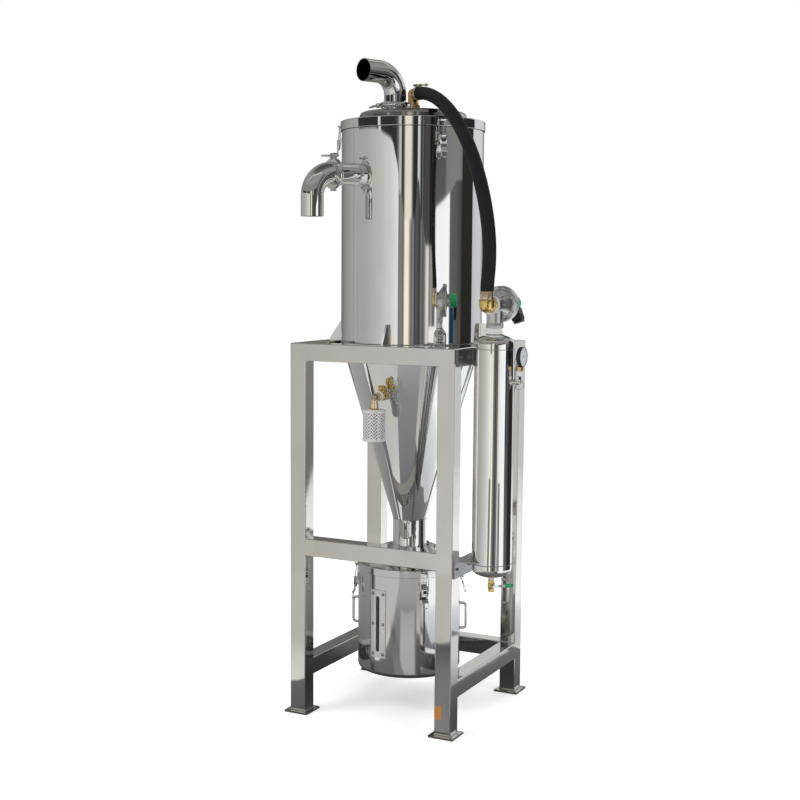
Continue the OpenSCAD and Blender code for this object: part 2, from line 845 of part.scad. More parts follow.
module sight_plate() {
  t = 4;
  color("gainsboro") difference() {
    intersection() {
      translate([0, 0, drum_z]) ring(drum_r + t, drum_r, drum_h);
      translate([0, 0, drum_z + sight_up]) face(sight_dir)
        translate([0, -sight_w / 2, -sight_h / 2]) cube([2 * drum_r, sight_w, sight_h]);
    }
    translate([0, 0, drum_z + sight_up]) face(sight_dir) slot_cut(glass_w, glass_h);
  }
}

module sight_glass() {
  color("dimgray") intersection() {
    translate([0, 0, drum_z]) ring(drum_r + 2, drum_r - 1, drum_h);
    translate([0, 0, drum_z + sight_up]) face(sight_dir) slot_cut(glass_w, glass_h);
  }
}

module drum_handles() {
  r = 5;
  x = drum_r + handle_out - r;
  color("silver") for (dir = [-75, 105]) difference() {
    translate([0, 0, drum_z + handle_up]) face(dir) {
      for (s = [-1, 1]) {
        translate([0, 0, s * (handle_h / 2 - r)]) bar_x(drum_r - 10, x, r);
        translate([x, 0, s * (handle_h / 2 - r)]) sphere(r = r);
      }
      translate([x, 0, -(handle_h / 2 - r)]) cylinder(r = r, h = handle_h - 2 * r);
    }
    translate([0, 0, drum_z]) cylinder(r = drum_r, h = drum_h);
  }
}

// Toggle latch: base on the shell, with an ear that carries the lever's pin
module latch_base(r_shell, z_pivot) {
  x0 = r_shell + pivot_out;
  intersection() {
    translate([0, 0, z_pivot - base_low]) ring(r_shell + base_t, r_shell, base_h);
    translate([0, -base_half, z_pivot - base_low]) cube([2 * r_shell, 2 * base_half, base_h]);
  }
  difference() {
    union() {
      translate([r_shell + 1, -ear_half, z_pivot - knuckle_r])
        cube([pivot_out - 1, 2 * ear_half, 2 * knuckle_r]);
      translate([x0, 0, z_pivot]) bar_y(knuckle_r, 2 * ear_half);
    }
    translate([x0, 0, z_pivot]) bar_y(wire_r + pin_gap, 2 * ear_half + 2);
  }
}

module latch_bases() {
  color("silver") {
    for (dir = lid_latches) face(dir) latch_base(body_r, lid_bar_z - latch_reach);
    for (dir = drum_latches) face(dir) latch_base(drum_r, drum_bar_z - latch_reach);
  }
}

// Lever: two cheeks on the pivot pin and a tail that stands out at its lower end
module lever(r_shell, z_pivot) {
  tail = lever_len - toggle - 8;
  wide = 2 * (cheek_at + cheek_t);
  waist = knuckle_r - 0.5;
  color("silver") translate([r_shell + pivot_out, 0, z_pivot]) difference() {
    union() {
      for (s = [-1, 1]) translate([0, s * (cheek_at + cheek_t / 2), 0]) {
        bar_y(knuckle_r, cheek_t);
        translate([0, 0, -toggle]) bar_y(knuckle_r, cheek_t);
        translate([-waist, -cheek_t / 2, -toggle]) cube([2 * waist, cheek_t, toggle]);
        translate([-3, -cheek_t / 2, -toggle - 16]) cube([6, cheek_t, 16]);
      }
      translate([0, 0, -toggle - 8]) rotate([0, -14, 0]) {
        translate([-2, -wide / 2 + 1, -tail]) cube([4, wide - 2, tail]);
        translate([0, 0, -tail]) bar_y(3, wide + 4);
      }
      bar_y(wire_r, wide);
    }
    translate([0, 0, -toggle]) bar_y(wire_r + pin_gap, wide + 2);
  }
}

// Loop: a wire bail from the lever's lower pin up to the bar in the keeper
module loop(r_shell, z_pivot) {
  run = latch_reach + toggle;
  long = sqrt(run * run + bar_in * bar_in);
  pin = loop_half - cheek_at - 0.3;
  color("gainsboro") translate([r_shell + pivot_out, 0, z_pivot - toggle]) {
    for (s = [-1, 1]) {
      translate([0, s * loop_half, 0]) {
        rotate([0, -atan2(bar_in, run), 0]) cylinder(r = wire_r, h = long);
        sphere(r = wire_r);
      }
      translate([0, s * (loop_half - pin / 2), 0]) bar_y(wire_r, pin);
      translate([-bar_in, s * loop_half, run]) sphere(r = wire_r);
    }
    translate([-bar_in, 0, run]) bar_y(wire_r, 2 * loop_half);
  }
}

module lid_lever(i) face(lid_latches[i]) lever(body_r, lid_bar_z - latch_reach);
module lid_loop(i) face(lid_latches[i]) loop(body_r, lid_bar_z - latch_reach);
module drum_lever(i) face(drum_latches[i]) lever(drum_r, drum_bar_z - latch_reach);
module drum_loop(i) face(drum_latches[i]) loop(drum_r, drum_bar_z - latch_reach);

foot_plates();
legs();
top_rails();
mid_rail();
low_rails();
gussets();
body_shell();
hopper_cone();
neck_pipe();
neck_flange();
lid_rim();
lid_cover();
inlet_stub();
inlet_clamp();
inlet_elbow();
outlet_stub();
outlet_clamp();
outlet_elbow();
lid_boss();
lid_hose_elbow();
hose();
hose_clamp();
valve_elbow();
pulse_valve();
valve_coil();
coil_plug();
tank_collar();
air_tank();
tank_ends();
tank_brackets();
drain_valve();
drain_lever();
gauge();
gauge_fitting();
cone_fitting();
cone_elbow();
silencer();
drum_lid();
drum_shell();
drum_bottom();
sight_plate();
sight_glass();
drum_handles();
latch_bases();
lid_lever(0);  // lid_lever_1
lid_lever(1);  // lid_lever_2
lid_lever(2);  // lid_lever_3
lid_loop(0);  // lid_loop_1
lid_loop(1);  // lid_loop_2
lid_loop(2);  // lid_loop_3
drum_lever(0);  // drum_lever_1
drum_lever(1);  // drum_lever_2
drum_lever(2);  // drum_lever_3
drum_lever(3);  // drum_lever_4
drum_loop(0);  // drum_loop_1
drum_loop(1);  // drum_loop_2
drum_loop(2);  // drum_loop_3
drum_loop(3);  // drum_loop_4
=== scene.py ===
import bpy, bmesh, json, math
from mathutils import Matrix, Vector


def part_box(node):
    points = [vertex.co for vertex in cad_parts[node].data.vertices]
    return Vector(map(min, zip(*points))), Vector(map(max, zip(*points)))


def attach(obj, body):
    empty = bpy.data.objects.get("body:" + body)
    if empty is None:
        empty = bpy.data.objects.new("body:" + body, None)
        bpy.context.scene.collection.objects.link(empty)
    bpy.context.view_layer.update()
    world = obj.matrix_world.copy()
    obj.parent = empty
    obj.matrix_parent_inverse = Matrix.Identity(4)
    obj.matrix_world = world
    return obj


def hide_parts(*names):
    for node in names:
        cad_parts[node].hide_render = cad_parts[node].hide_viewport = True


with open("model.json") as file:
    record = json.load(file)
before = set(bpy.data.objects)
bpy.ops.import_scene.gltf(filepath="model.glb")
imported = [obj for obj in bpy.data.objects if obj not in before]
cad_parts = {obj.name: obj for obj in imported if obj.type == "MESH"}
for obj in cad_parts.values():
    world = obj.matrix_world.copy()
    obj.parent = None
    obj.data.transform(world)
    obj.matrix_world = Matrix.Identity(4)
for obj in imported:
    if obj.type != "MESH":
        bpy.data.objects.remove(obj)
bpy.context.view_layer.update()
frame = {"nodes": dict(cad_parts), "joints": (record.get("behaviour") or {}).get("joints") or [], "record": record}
print("frame loaded:", len(frame["nodes"]), "nodes")

mm = 0.001
upward = Vector((0, 0, 1))
joints = {joint["name"]: joint for joint in frame["joints"]}


def rad(degrees):
    return math.radians(degrees)


def addObject(name, data):
    made = bpy.data.objects.new(name, data)
    bpy.context.scene.collection.objects.link(made)
    return made


def shift(x=0.0, y=0.0, z=0.0):
    return Matrix.Translation((x, y, z))


def turned(angle, axis):
    return Matrix.Rotation(rad(angle), 4, axis)


# Camera: level of a standing person's chest, to the right of the front

cameraSet = {"place": (2.1509, -4.3152, 1.5778), "yaw": 26.95, "down": 5.76, "roll": 0.41, "lens": 61.51}


def makeCamera():
    data = bpy.data.cameras.new("camera")
    data.lens = cameraSet["lens"]
    data.clip_end = 60
    camera = addObject("camera", data)
    turn, tilt = turned(cameraSet["yaw"], "Z"), turned(90 - cameraSet["down"], "X")
    camera.matrix_world = shift(*cameraSet["place"]) @ turn @ tilt @ turned(cameraSet["roll"], "Z")
    bpy.context.scene.camera = camera


makeCamera()
print("camera placed")


# Places: all pieces are built in millimetres and finishPiece brings them to metres; the camera, the
# materials and the studio are in metres

def inMm(corners):
    return [corner / mm for corner in corners]


def along(direction, radius, z=0.0):
    # a point at that direction from the axis, counted from the front towards the tank
    return Vector((radius * math.sin(rad(direction)), -radius * math.cos(rad(direction)), z))


def facing(direction, radius=0.0, z=0.0):
    # local +X points away from the axis
    return shift(*along(direction, radius, z)) @ turned(direction - 90, "Z")


def outwardAt(jointName):
    # local +X points away from the axis through the joint
    place = Vector(joints[jointName]["pos_m"]) / mm
    out = Vector((place.x, place.y, 0)).normalized()
    where = Matrix((out, upward.cross(out), upward)).transposed().to_4x4()
    where.translation = place
    return where


def aim(place, axis, twist=0):
    # local +Z along the axis
    turn = Vector(axis).to_track_quat("Z", "X").to_matrix().to_4x4()
    return shift(*place) @ turn @ turned(twist, "Z")


# Mesh building

def skin(bm, rows, wrap=True, closed=False):
    # faces between rows of points; a row may repeat one point
    pairs = list(zip(rows, rows[1:])) + ([(rows[-1], rows[0])] if closed else [])
    for low, high in pairs:
        count = len(low)
        for i in range(count if wrap else count - 1):
            j = (i + 1) % count
            corners = []
            for point in (low[i], low[j], high[j], high[i]):
                if point not in corners:
                    corners.append(point)
            if len(corners) > 2:
                bm.faces.new(corners)


def capped(bm, rows):
    skin(bm, rows)
    bm.faces.new(list(reversed(rows[0])))
    bm.faces.new(rows[-1])


def vert(bm, where, x, y, z):
    return bm.verts.new(where @ Vector((x, y, z)))


def lathe(bm, profile, where=Matrix(), steps=64, closed=True, start=0, turn=360):
    # profile points are (radius, z); closed joins the last point to the first
    full = turn == 360
    angles = [rad(start + turn * i / steps) for i in range(steps + (0 if full else 1))]
    rows = []
    for radius, z in profile:
        if radius < 1e-7:
            rows.append([vert(bm, where, 0, 0, z)] * len(angles))
        else:
            rows.append([vert(bm, where, radius * math.cos(a), radius * math.sin(a), z) for a in angles])
    skin(bm, rows, full, closed)
    if not full and closed:
        bm.faces.new([row[0] for row in rows])
        bm.faces.new([row[-1] for row in reversed(rows)])


def solid(bm, profile, where=Matrix(), steps=64, start=0):
    # a full turn of an outline that runs out from the axis at its first height and back at its last
    lathe(bm, [(0, profile[0][1]), *profile, (0, profile[-1][1])], where, steps, False, start)


def ringBand(bm, where, inner, outer, wide, steps, **partTurn):
    lathe(bm, [(inner, -wide), (outer, -wide), (outer, wide), (inner, wide)], where, steps, **partTurn)


def sweep(bm, points, radius, sides=12, loop=False):
    # a round bar along the points, its ends closed unless it is a loop
    rows = []
    aside = None
    last = len(points) - 1
    for i, point in enumerate(points):
        after = points[(i + 1) % len(points)] if loop else points[min(i + 1, last)]
        before = points[i - 1] if loop else points[max(i - 1, 0)]
        ahead = (after - before).normalized()
        aside = ahead.orthogonal() if aside is None else aside - ahead * aside.dot(ahead)
        aside.normalize()
        across = ahead.cross(aside)
        turns = [math.tau * k / sides for k in range(sides)]
        rows.append([bm.verts.new(point + (aside * math.cos(t) + across * math.sin(t)) * radius)
                     for t in turns])
    if loop:
        skin(bm, rows, True, True)
    else:
        capped(bm, rows)


def prism(bm, outline, low, high, where=Matrix()):
    capped(bm, [[vert(bm, where, x, y, z) for x, y in outline] for z in (low, high)])


def block(bm, size, where=Matrix()):
    x, y, z = size[0] / 2, size[1] / 2, size[2] / 2
    prism(bm, [(-x, -y), (x, -y), (x, y), (-x, y)], -z, z, where)


def strip(bm, path, thickness, width, where=Matrix()):
    # a flat bar bent along a path of (x, z) points, its width along local Y
    rows = []
    last = len(path) - 1
    for i, (x, z) in enumerate(path):
        after = Vector(path[min(i + 1, last)])
        before = Vector(path[max(i - 1, 0)])
        ahead = (after - before).normalized()
        dx, dz = -ahead.y * thickness / 2, ahead.x * thickness / 2
        rows.append([vert(bm, where, x + a * dx, b * width / 2, z + a * dz)
                     for a, b in ((1, -1), (1, 1), (-1, 1), (-1, -1))])
    capped(bm, rows)


def rod(bm, start, end, radius, sides=16, where=Matrix()):
    sweep(bm, [where @ Vector(start), where @ Vector(end)], radius, sides)


def ball(bm, where, radius, steps=20, squash=1.0):
    profile = [(radius * math.sin(math.pi * i / 12), -radius * squash * math.cos(math.pi * i / 12))
               for i in range(13)]
    lathe(bm, profile, where, steps, closed=False)


def bead(bm, where, radius, size, steps=96, ripple=0.0):
    # a weld bead round local Z
    rows = []
    for k in range(8):
        turn = math.tau * k / 8
        row = []
        for i in range(steps):
            around = math.tau * i / steps
            swell = size * (1 + ripple * math.sin(around * steps / 4))
            out, up = radius + swell * math.cos(turn), swell * math.sin(turn)
            row.append(vert(bm, where, out * math.cos(around), out * math.sin(around), up))
        rows.append(row)
    skin(bm, rows, True, True)


def polygon(sides, radius, twist=0):
    turns = [rad(twist + 360 * k / sides) for k in range(sides)]
    return [(radius * math.cos(t), radius * math.sin(t)) for t in turns]


def hexBody(bm, where, radius, height, ease=0.9):
    # chamfered hexagon standing on local z = 0
    rise = (1 - ease) * radius * 0.6
    rows = []
    for share, z in ((0, 0), (ease, 0), (1, rise), (1, height - rise), (ease, height), (0, height)):
        if share == 0:
            rows.append([vert(bm, where, 0, 0, z)] * 6)
        else:
            rows.append([vert(bm, where, x, y, z) for x, y in polygon(6, radius * share)])
    skin(bm, rows)


def boltHead(bm, where, radius):
    washer = 1.35 * radius
    solid(bm, [(washer, 0), (washer, 0.2 * radius)], where, 24)
    hexBody(bm, where @ shift(z=0.2 * radius), radius, 0.75 * radius)


def panHead(bm, where, radius):
    # a screw's low round head with a cross recess
    rise = 0.55 * radius
    solid(bm, [(radius, 0), (radius, 0.3 * rise), (0.75 * radius, 0.85 * rise), (0.4 * radius, rise)],
          where, 20)
    for angle in (0, 90):
        block(bm, (1.1 * radius, 0.18 * radius, 0.02 * radius), where @ turned(angle, "Z") @ shift(z=rise))


def rounded(points, radius, steps=6):
    # the same line with its corners eased
    line = [Vector(points[0])]
    for before, corner, after in zip(points, points[1:], points[2:]):
        before, corner, after = Vector(before), Vector(corner), Vector(after)
        reach = min(radius, (before - corner).length / 2, (after - corner).length / 2)
        start = corner + (before - corner).normalized() * reach
        end = corner + (after - corner).normalized() * reach
        for i in range(steps + 1):
            u = i / steps
            line.append(start * (1 - u) ** 2 + corner * 2 * u * (1 - u) + end * u * u)
    return line + [Vector(points[-1])]


def meshOf(name, bm):
    mesh = bpy.data.meshes.new(name)
    bm.to_mesh(mesh)
    bm.free()
    return mesh


def bentRod(bm, points, bend, radius, sides, where=Matrix(), steps=6):
    sweep(bm, [where @ point for point in rounded(points, bend, steps)], radius, sides)


def easeEdges(piece, width):
    # bevelled edges that catch the light
    edge = piece.modifiers.new("edges", "BEVEL")
    edge.width = width * mm
    edge.segments = 2
    edge.limit_method = "ANGLE"
    edge.angle_limit = rad(40)
    edge.harden_normals = True


def finishPiece(name, bm, slotName, replaces=(), body="root", bevel=0.0, smooth=34, finish=None):
    bmesh.ops.scale(bm, verts=bm.verts, vec=(mm, mm, mm))
    bmesh.ops.remove_doubles(bm, verts=bm.verts, dist=1e-6)
    bmesh.ops.recalc_face_normals(bm, faces=bm.faces)
    mesh = meshOf(name, bm)
    mesh.materials.append(extraFinish[finish] if finish else slotFinish[slotName])
    mesh.shade_smooth()
    mesh.set_sharp_from_angle(angle=rad(smooth))
    piece = addObject(name, mesh)
    if bevel:
        easeEdges(piece, bevel)
    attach(piece, body)
    if replaces:
        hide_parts(*replaces)


def solidPiece(name, slotName, profile, where, steps, **looks):
    # a piece that is one solid of revolution
    bm = bmesh.new()
    solid(bm, profile, where, steps)
    finishPiece(name, bm, slotName, **looks)


# Materials

def nodeMaterial(name):
    material = bpy.data.materials.new(name)
    material.use_nodes = True
    return material, material.node_tree


def setInputs(node, **values):
    for label, value in values.items():
        node.inputs[label.replace("_", " ")].default_value = value


def addNode(tree, kind, links=(), **values):
    # a link gives one input an output to follow or a value of its own
    node = tree.nodes.new(kind)
    for key, value in values.items():
        if key in node.inputs:
            node.inputs[key].default_value = value
        else:
            setattr(node, key, value)
    for source, target in links:
        if isinstance(source, bpy.types.NodeSocket):
            tree.links.new(source, node.inputs[target])
        else:
            node.inputs[target].default_value = source
    return node


def compute(tree, operation, *values):
    links = [(value, index) for index, value in enumerate(values)]
    return addNode(tree, "ShaderNodeMath", links, operation=operation).outputs[0]


def mixed(tree, factor, low, high):
    links = [(factor, "Factor"), (low, 6), (high, 7)]
    return addNode(tree, "ShaderNodeMix", links, data_type="RGBA").outputs[2]


def objectCoords(tree):
    return addNode(tree, "ShaderNodeTexCoord").outputs["Object"]


def scaled(tree, coords, factors):
    links = [(coords, 0), (factors, 1)]
    return addNode(tree, "ShaderNodeVectorMath", links, operation="MULTIPLY").outputs[0]


def stretchedNoise(tree, coords, scale, detail, stretch):
    links = [(scaled(tree, coords, stretch), "Vector"), (scale, "Scale")]
    return addNode(tree, "ShaderNodeTexNoise", links, Detail=detail).outputs["Fac"]


def spread(tree, source, low, high, newLow=0.0, newHigh=1.0):
    links = [(source, "Value"), (low, "From Min"), (high, "From Max"), (newLow, "To Min"),
             (newHigh, "To Max")]
    return addNode(tree, "ShaderNodeMapRange", links).outputs[0]


def makeGrainGroup():
    # fine polishing grain, cloudy dull patches and smears
    tree = bpy.data.node_groups.new("polishGrain", "ShaderNodeTree")
    for label, kind, value in (("Tone", "Color", (0.7, 0.7, 0.7, 1)),
                               ("Dull Tone", "Color", (0.6, 0.6, 0.6, 1)),
                               ("Stretch", "Vector", (1, 1, 0.02)), ("Fine Scale", "Float", 900),
                               ("Low Rough", "Float", 0.08), ("High Rough", "Float", 0.16)):
        socket = tree.interface.new_socket(label, in_out="INPUT", socket_type="NodeSocket" + kind)
        socket.default_value = value
    for label, kind in (("Color", "Color"), ("Roughness", "Float"), ("Height", "Float")):
        tree.interface.new_socket(label, in_out="OUTPUT", socket_type="NodeSocket" + kind)
    given, made = tree.nodes.new("NodeGroupInput").outputs, tree.nodes.new("NodeGroupOutput").inputs
    coords = objectCoords(tree)
    fine = stretchedNoise(tree, coords, given["Fine Scale"], 2, given["Stretch"])
    cloud = stretchedNoise(tree, coords, 7, 4, (1, 1, 0.6))
    smear = stretchedNoise(tree, coords, 38, 3, (1, 1, 0.25))
    marks = compute(tree, "MULTIPLY", spread(tree, cloud, 0.42, 0.68), smear)
    both = compute(tree, "MULTIPLY_ADD", fine, 0.45, marks)
    tree.links.new(mixed(tree, marks, given["Tone"], given["Dull Tone"]), made["Color"])
    tree.links.new(spread(tree, both, 0.1, 0.9, given["Low Rough"], given["High Rough"]), made["Roughness"])
    tree.links.new(fine, made["Height"])
    return tree


grainGroup = makeGrainGroup()


def surfaceMaterial(name, tone, dull, rough, metal=1.0, bump=0.2, fineScale=600, stretch=(1, 1, 1),
                    waves=0.0, specular=0.5):
    material, tree = nodeMaterial(name)
    shader = tree.nodes["Principled BSDF"]
    setInputs(shader, Metallic=metal, Specular_IOR_Level=specular)
    grain = addNode(tree, "ShaderNodeGroup", node_tree=grainGroup)
    setInputs(grain, Tone=(*tone, 1), Dull_Tone=(*dull, 1), Stretch=stretch, Fine_Scale=fineScale,
              Low_Rough=rough[0], High_Rough=rough[1])
    tree.links.new(grain.outputs["Color"], shader.inputs["Base Color"])
    tree.links.new(grain.outputs["Roughness"], shader.inputs["Roughness"])
    last = addNode(tree, "ShaderNodeBump", [(grain.outputs["Height"], "Height")],
                   Strength=bump, Distance=0.0002)
    if waves:
        swell = stretchedNoise(tree, objectCoords(tree), 5.5, 1, (1, 1, 0.35))
        last = addNode(tree, "ShaderNodeBump", [(swell, "Height"), (last.outputs[0], "Normal")],
                       Strength=1.0, Distance=waves)
    tree.links.new(last.outputs[0], shader.inputs["Normal"])
    return material


def surfaces(looks):
    return {key: surfaceMaterial(*look) for key, look in looks.items()}


# name, tone, tone of the dull patches, least and most roughness, then the rest in surfaceMaterial's order
slotFinish = surfaces({
    "polished_steel": ("polishedSteel", (0.86, 0.855, 0.84), (0.78, 0.775, 0.76), (0.015, 0.05),
                       1, 0.02, 700, (1, 1, 0.01), 0.00035),
    "frame_steel": ("frameSteel", (0.80, 0.785, 0.755), (0.70, 0.69, 0.66), (0.04, 0.10),
                    1, 0.03, 900, (1, 1, 0.02), 0.0003),
    "drum_steel": ("drumSteel", (0.82, 0.82, 0.81), (0.74, 0.74, 0.73), (0.04, 0.12),
                   1, 0.05, 800, (1, 1, 0.01), 0.0004),
    "silencer_steel": ("silencerSteel", (0.80, 0.80, 0.79), (0.68, 0.68, 0.67), (0.3, 0.45), 0.35),
    "latch_steel": ("latchSteel", (0.88, 0.875, 0.86), (0.7, 0.69, 0.68), (0.04, 0.12)),
    "brass": ("brass", (0.94, 0.72, 0.28), (0.74, 0.50, 0.14), (0.16, 0.34), 1, 0.2, 400),
    "copper": ("copper", (0.98, 0.78, 0.60), (0.80, 0.58, 0.42), (0.20, 0.38), 1, 0.2, 400),
    "cast_aluminium": ("castAluminium", (0.74, 0.74, 0.75), (0.58, 0.58, 0.6), (0.28, 0.46), 1, 0.5),
    "rubber": ("hoseRubber", (0.009, 0.010, 0.011), (0.014, 0.015, 0.016), (0.5, 0.7),
               0, 0.5, 500, (1, 1, 1), 0, 0.3),
    "green_plastic": ("greenPlastic", (0.02, 0.36, 0.12), (0.02, 0.28, 0.10), (0.25, 0.4), 0),
    "black_plastic": ("blackPlastic", (0.012, 0.012, 0.014), (0.02, 0.02, 0.02), (0.3, 0.5), 0),
    "white_plastic": ("whiteTape", (0.80, 0.80, 0.78), (0.66, 0.66, 0.64), (0.5, 0.7), 0, 0.6, 300),
    "sight_glass": ("sightGlass", (0.018, 0.021, 0.024), (0.026, 0.03, 0.034), (0.05, 0.12), 0, 0.02),
})
extraFinish = surfaces({
    "weld": ("weldSteel", (0.55, 0.54, 0.52), (0.36, 0.35, 0.34), (0.22, 0.4), 1, 0.6, 900),
    "zinc": ("yellowZinc", (0.72, 0.66, 0.46), (0.5, 0.45, 0.3), (0.2, 0.36)),
    "bracket": ("bracketSteel", (0.40, 0.41, 0.42), (0.34, 0.35, 0.36), (0.32, 0.45),
                1, 0.1, 900, (1, 1, 0.04)),
    "cover": ("coverSteel", (0.46, 0.45, 0.43), (0.38, 0.37, 0.35), (0.12, 0.22),
              1, 0.06, 900, (1, 1, 0.05), 0.0003),
    "plate": ("sightPlateSteel", (0.86, 0.86, 0.85), (0.78, 0.78, 0.77), (0.30, 0.42),
              0.75, 0.1, 900, (1, 1, 0.02)),
    "screw": ("screwSteel", (0.55, 0.55, 0.54), (0.35, 0.35, 0.34), (0.15, 0.3)),
    # near-black: painted shade inside the silencer's holes
    "mesh": ("silencerCoreShade", (0.10, 0.10, 0.10), (0.06, 0.06, 0.06), (0.4, 0.6), 0.5),
    # painted shade, for the openings in the latch levers
    "dark": ("darkGap", (0.012, 0.012, 0.012), (0.02, 0.02, 0.02), (0.5, 0.7), 0),
    "dial": ("dialFace", (0.62, 0.68, 0.72), (0.58, 0.64, 0.68), (0.3, 0.4), 0, 0),
    "orange": ("orangeSticker", (0.62, 0.22, 0.03), (0.5, 0.17, 0.02), (0.35, 0.5), 0),
})
print("materials made")


def dressNodes():
    slots = {part["node"]: part["material_slot"] for part in frame["record"]["subparts"]}
    own = {"tank_brackets": "bracket", "lid_cover": "cover", "sight_plate": "plate"}
    for name, piece in frame["nodes"].items():
        piece.data.materials.clear()
        piece.data.materials.append(extraFinish[own[name]] if name in own else slotFinish[slots[name]])
        piece.data.shade_smooth()
        piece.data.set_sharp_from_angle(angle=rad(32))


dressNodes()
print("nodes dressed")


# Welded frame: the tubes' outer skin on a grid of the tubes' own planes, with eased edges

frameLow, frameHigh = inMm(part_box("legs"))
midLow, midHigh = inMm(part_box("mid_rail"))
lowLow, lowHigh = inMm(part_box("low_rails"))
topLow, topHigh = inMm(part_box("top_rails"))
half = frameHigh.x
tube = midHigh.z - midLow.z
frameTop = frameHigh.z

frameSet = {"edge": 3.2, "footBead": 2.2, "seamBead": 1.6, "sunk": 0.3, "footEase": 1.0, "gussetEase": 1.2}


def makeFrame():
    planes = (-half, tube - half, half - tube, half)
    levels = (frameLow.z, lowLow.z, lowHigh.z, midLow.z, midHigh.z, topLow.z, topHigh.z)
    # the grid's filled cells: legs, top rails, then the low rails and the mid rail
    filled = {(x, y, z) for x in (0, 2) for y in (0, 2) for z in range(6)}
    filled |= {(1, 0, 5), (1, 2, 5), (0, 1, 5), (2, 1, 5)}
    filled |= {(2, 1, 1), (1, 2, 1), (0, 1, 1), (1, 0, 3)}
    bm = bmesh.new()
    for cell in filled:
        for axis in range(3):
            for side in (0, 1):
                beside = list(cell)
                beside[axis] += 1 if side else -1
                if tuple(beside) in filled:
                    continue
                first, second = (axis + 1) % 3, (axis + 2) % 3
                corners = []
                for a, b in ((0, 0), (1, 0), (1, 1), (0, 1)):
                    spot = list(cell)
                    spot[axis] += side
                    spot[first] += a
                    spot[second] += b
                    corners.append(bm.verts.new((planes[spot[0]], planes[spot[1]], levels[spot[2]])))
                bm.faces.new(corners)
    nodes = ("legs", "top_rails", "mid_rail", "low_rails")
    finishPiece("weldedFrame", bm, "frame_steel", nodes, bevel=frameSet["edge"])


def squareSeam(bm, x, y, z, side, size):
    reach = side / 2
    corners = [Vector((x + a * reach, y + b * reach, z)) for a, b in ((-1, -1), (1, -1), (1, 1), (-1, 1))]
    line = []
    for i in range(4):
        start, end = corners[i], corners[(i + 1) % 4]
        line += [start.lerp(end, 0.04 + 0.92 * k / 10) for k in range(11)]
    sweep(bm, line, size, 8, loop=True)


def makeFrameSeams():
    # weld seams at the mid rail's ends and weld beads round the feet
    bm = bmesh.new()
    for x in (tube / 2 - half, half - tube / 2):
        for y in (tube / 2 - half, half - tube / 2):
            squareSeam(bm, x, y, frameLow.z + 1, tube + 1, frameSet["footBead"])
    for side in (-1, 1):
        x = side * (half - tube - frameSet["sunk"])
        for z in (midLow.z, midHigh.z):
            rod(bm, (x, -half + 3, z), (x, tube - half - 3, z), frameSet["seamBead"], 8)
    finishPiece("frameWelds", bm, "frame_steel", finish="weld")


makeFrame()
makeFrameSeams()
easeEdges(frame["nodes"]["foot_plates"], frameSet["footEase"])
easeEdges(frame["nodes"]["gussets"], frameSet["gussetEase"])

stickerSet = {"width": 21, "height": 44, "thick": 0.3, "up": 77, "in": 1}


def makeSticker():
    # a plain orange label low on the front leg at the tank's side
    bm = bmesh.new()
    x = half - tube + stickerSet["in"] + stickerSet["width"] / 2 + frameSet["edge"]
    place = shift(x, -half - 0.1, frameLow.z + stickerSet["up"])
    block(bm, (stickerSet["width"], stickerSet["thick"], stickerSet["height"]), place)
    finishPiece("plainSticker", bm, "frame_steel", finish="orange")


makeSticker()
print("frame made")


# Body, lid and cone: welds, bands and small fittings on the round shells

bodyR = inMm(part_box("body_shell"))[1].x
rimBottom, rimTop = (corner.z for corner in inMm(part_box("lid_rim")))
coverHigh = inMm(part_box("lid_cover"))[1]
coverR, coverTop = coverHigh.x, coverHigh.z
neckHigh = inMm(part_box("neck_pipe"))[1]
neckR, neckTop = neckHigh.x, neckHigh.z
latches = {
    "lid": [outwardAt("lid_lever_%d_turn" % i) for i in (1, 2, 3)],
    "drum": [outwardAt("drum_lever_%d_turn" % i) for i in (1, 2, 3, 4)],
}

rimSet = {"out": 4, "edge": 2.5, "sheet": 3, "in": 14, "wide": 18, "lip": 5.5, "barDrop": 4,
          "gasket": 2.4}


def easedBand(radius, low, high, edge, inner):
    # a band's outline: rolled lower edge, a face kept flat by a second ring at each end, a rounded shoulder
    outline = [(inner, low), (radius - 1.2, low), (radius - 0.2, low + 0.5), (radius, low + 1.2),
               (radius, low + 1.5), (radius, high - edge - 0.3)]
    for i in range(7):
        turn = rad(90 * i / 6)
        outline.append((radius - edge + edge * math.cos(turn), high - edge + edge * math.sin(turn)))
    return outline + [(inner, high)]


def keepers(bm, group, radius):
    # the ledges that the latches' wires hook over, welded to the band's face
    for index, where in enumerate(latches[group]):
        reach = where.translation.xy.length + 1.5
        place = where.copy()
        bar = inMm(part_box("%s_loop_%d" % (group, index + 1)))[1].z - rimSet["barDrop"]
        place.translation = Vector((0, 0, bar))
        path = [(radius - 1, -1.5), (reach - 3, -1.5), (reach - 0.8, -0.6), (reach, 1.5),
                (reach, rimSet["lip"])]
        strip(bm, path, 2.6, rimSet["wide"], place)
        strip(bm, [(radius + 0.6, -9), (radius + 0.6, 8)], 1.6, 1.5 * rimSet["wide"], place)


def makeLidRim():
    bm = bmesh.new()
    radius = bodyR + rimSet["out"]
    inner, under = coverR - rimSet["in"], rimTop - rimSet["sheet"]
    outline = easedBand(radius, rimBottom, rimTop, rimSet["edge"], bodyR + 0.4)
    outline[-1] = (inner, rimTop)
    outline += [(inner, under), (bodyR + 0.4, under)]
    lathe(bm, outline, steps=160)
    keepers(bm, "lid", radius)
    finishPiece("lidRim", bm, "polished_steel", ("lid_rim",), smooth=50)


def makeLidGasket():
    bm = bmesh.new()
    edge = bodyR + 0.3
    ringBand(bm, shift(z=rimBottom - 0.4), edge, edge + rimSet["gasket"], 0.8, 160)
    finishPiece("lidGasket", bm, "rubber", smooth=60)


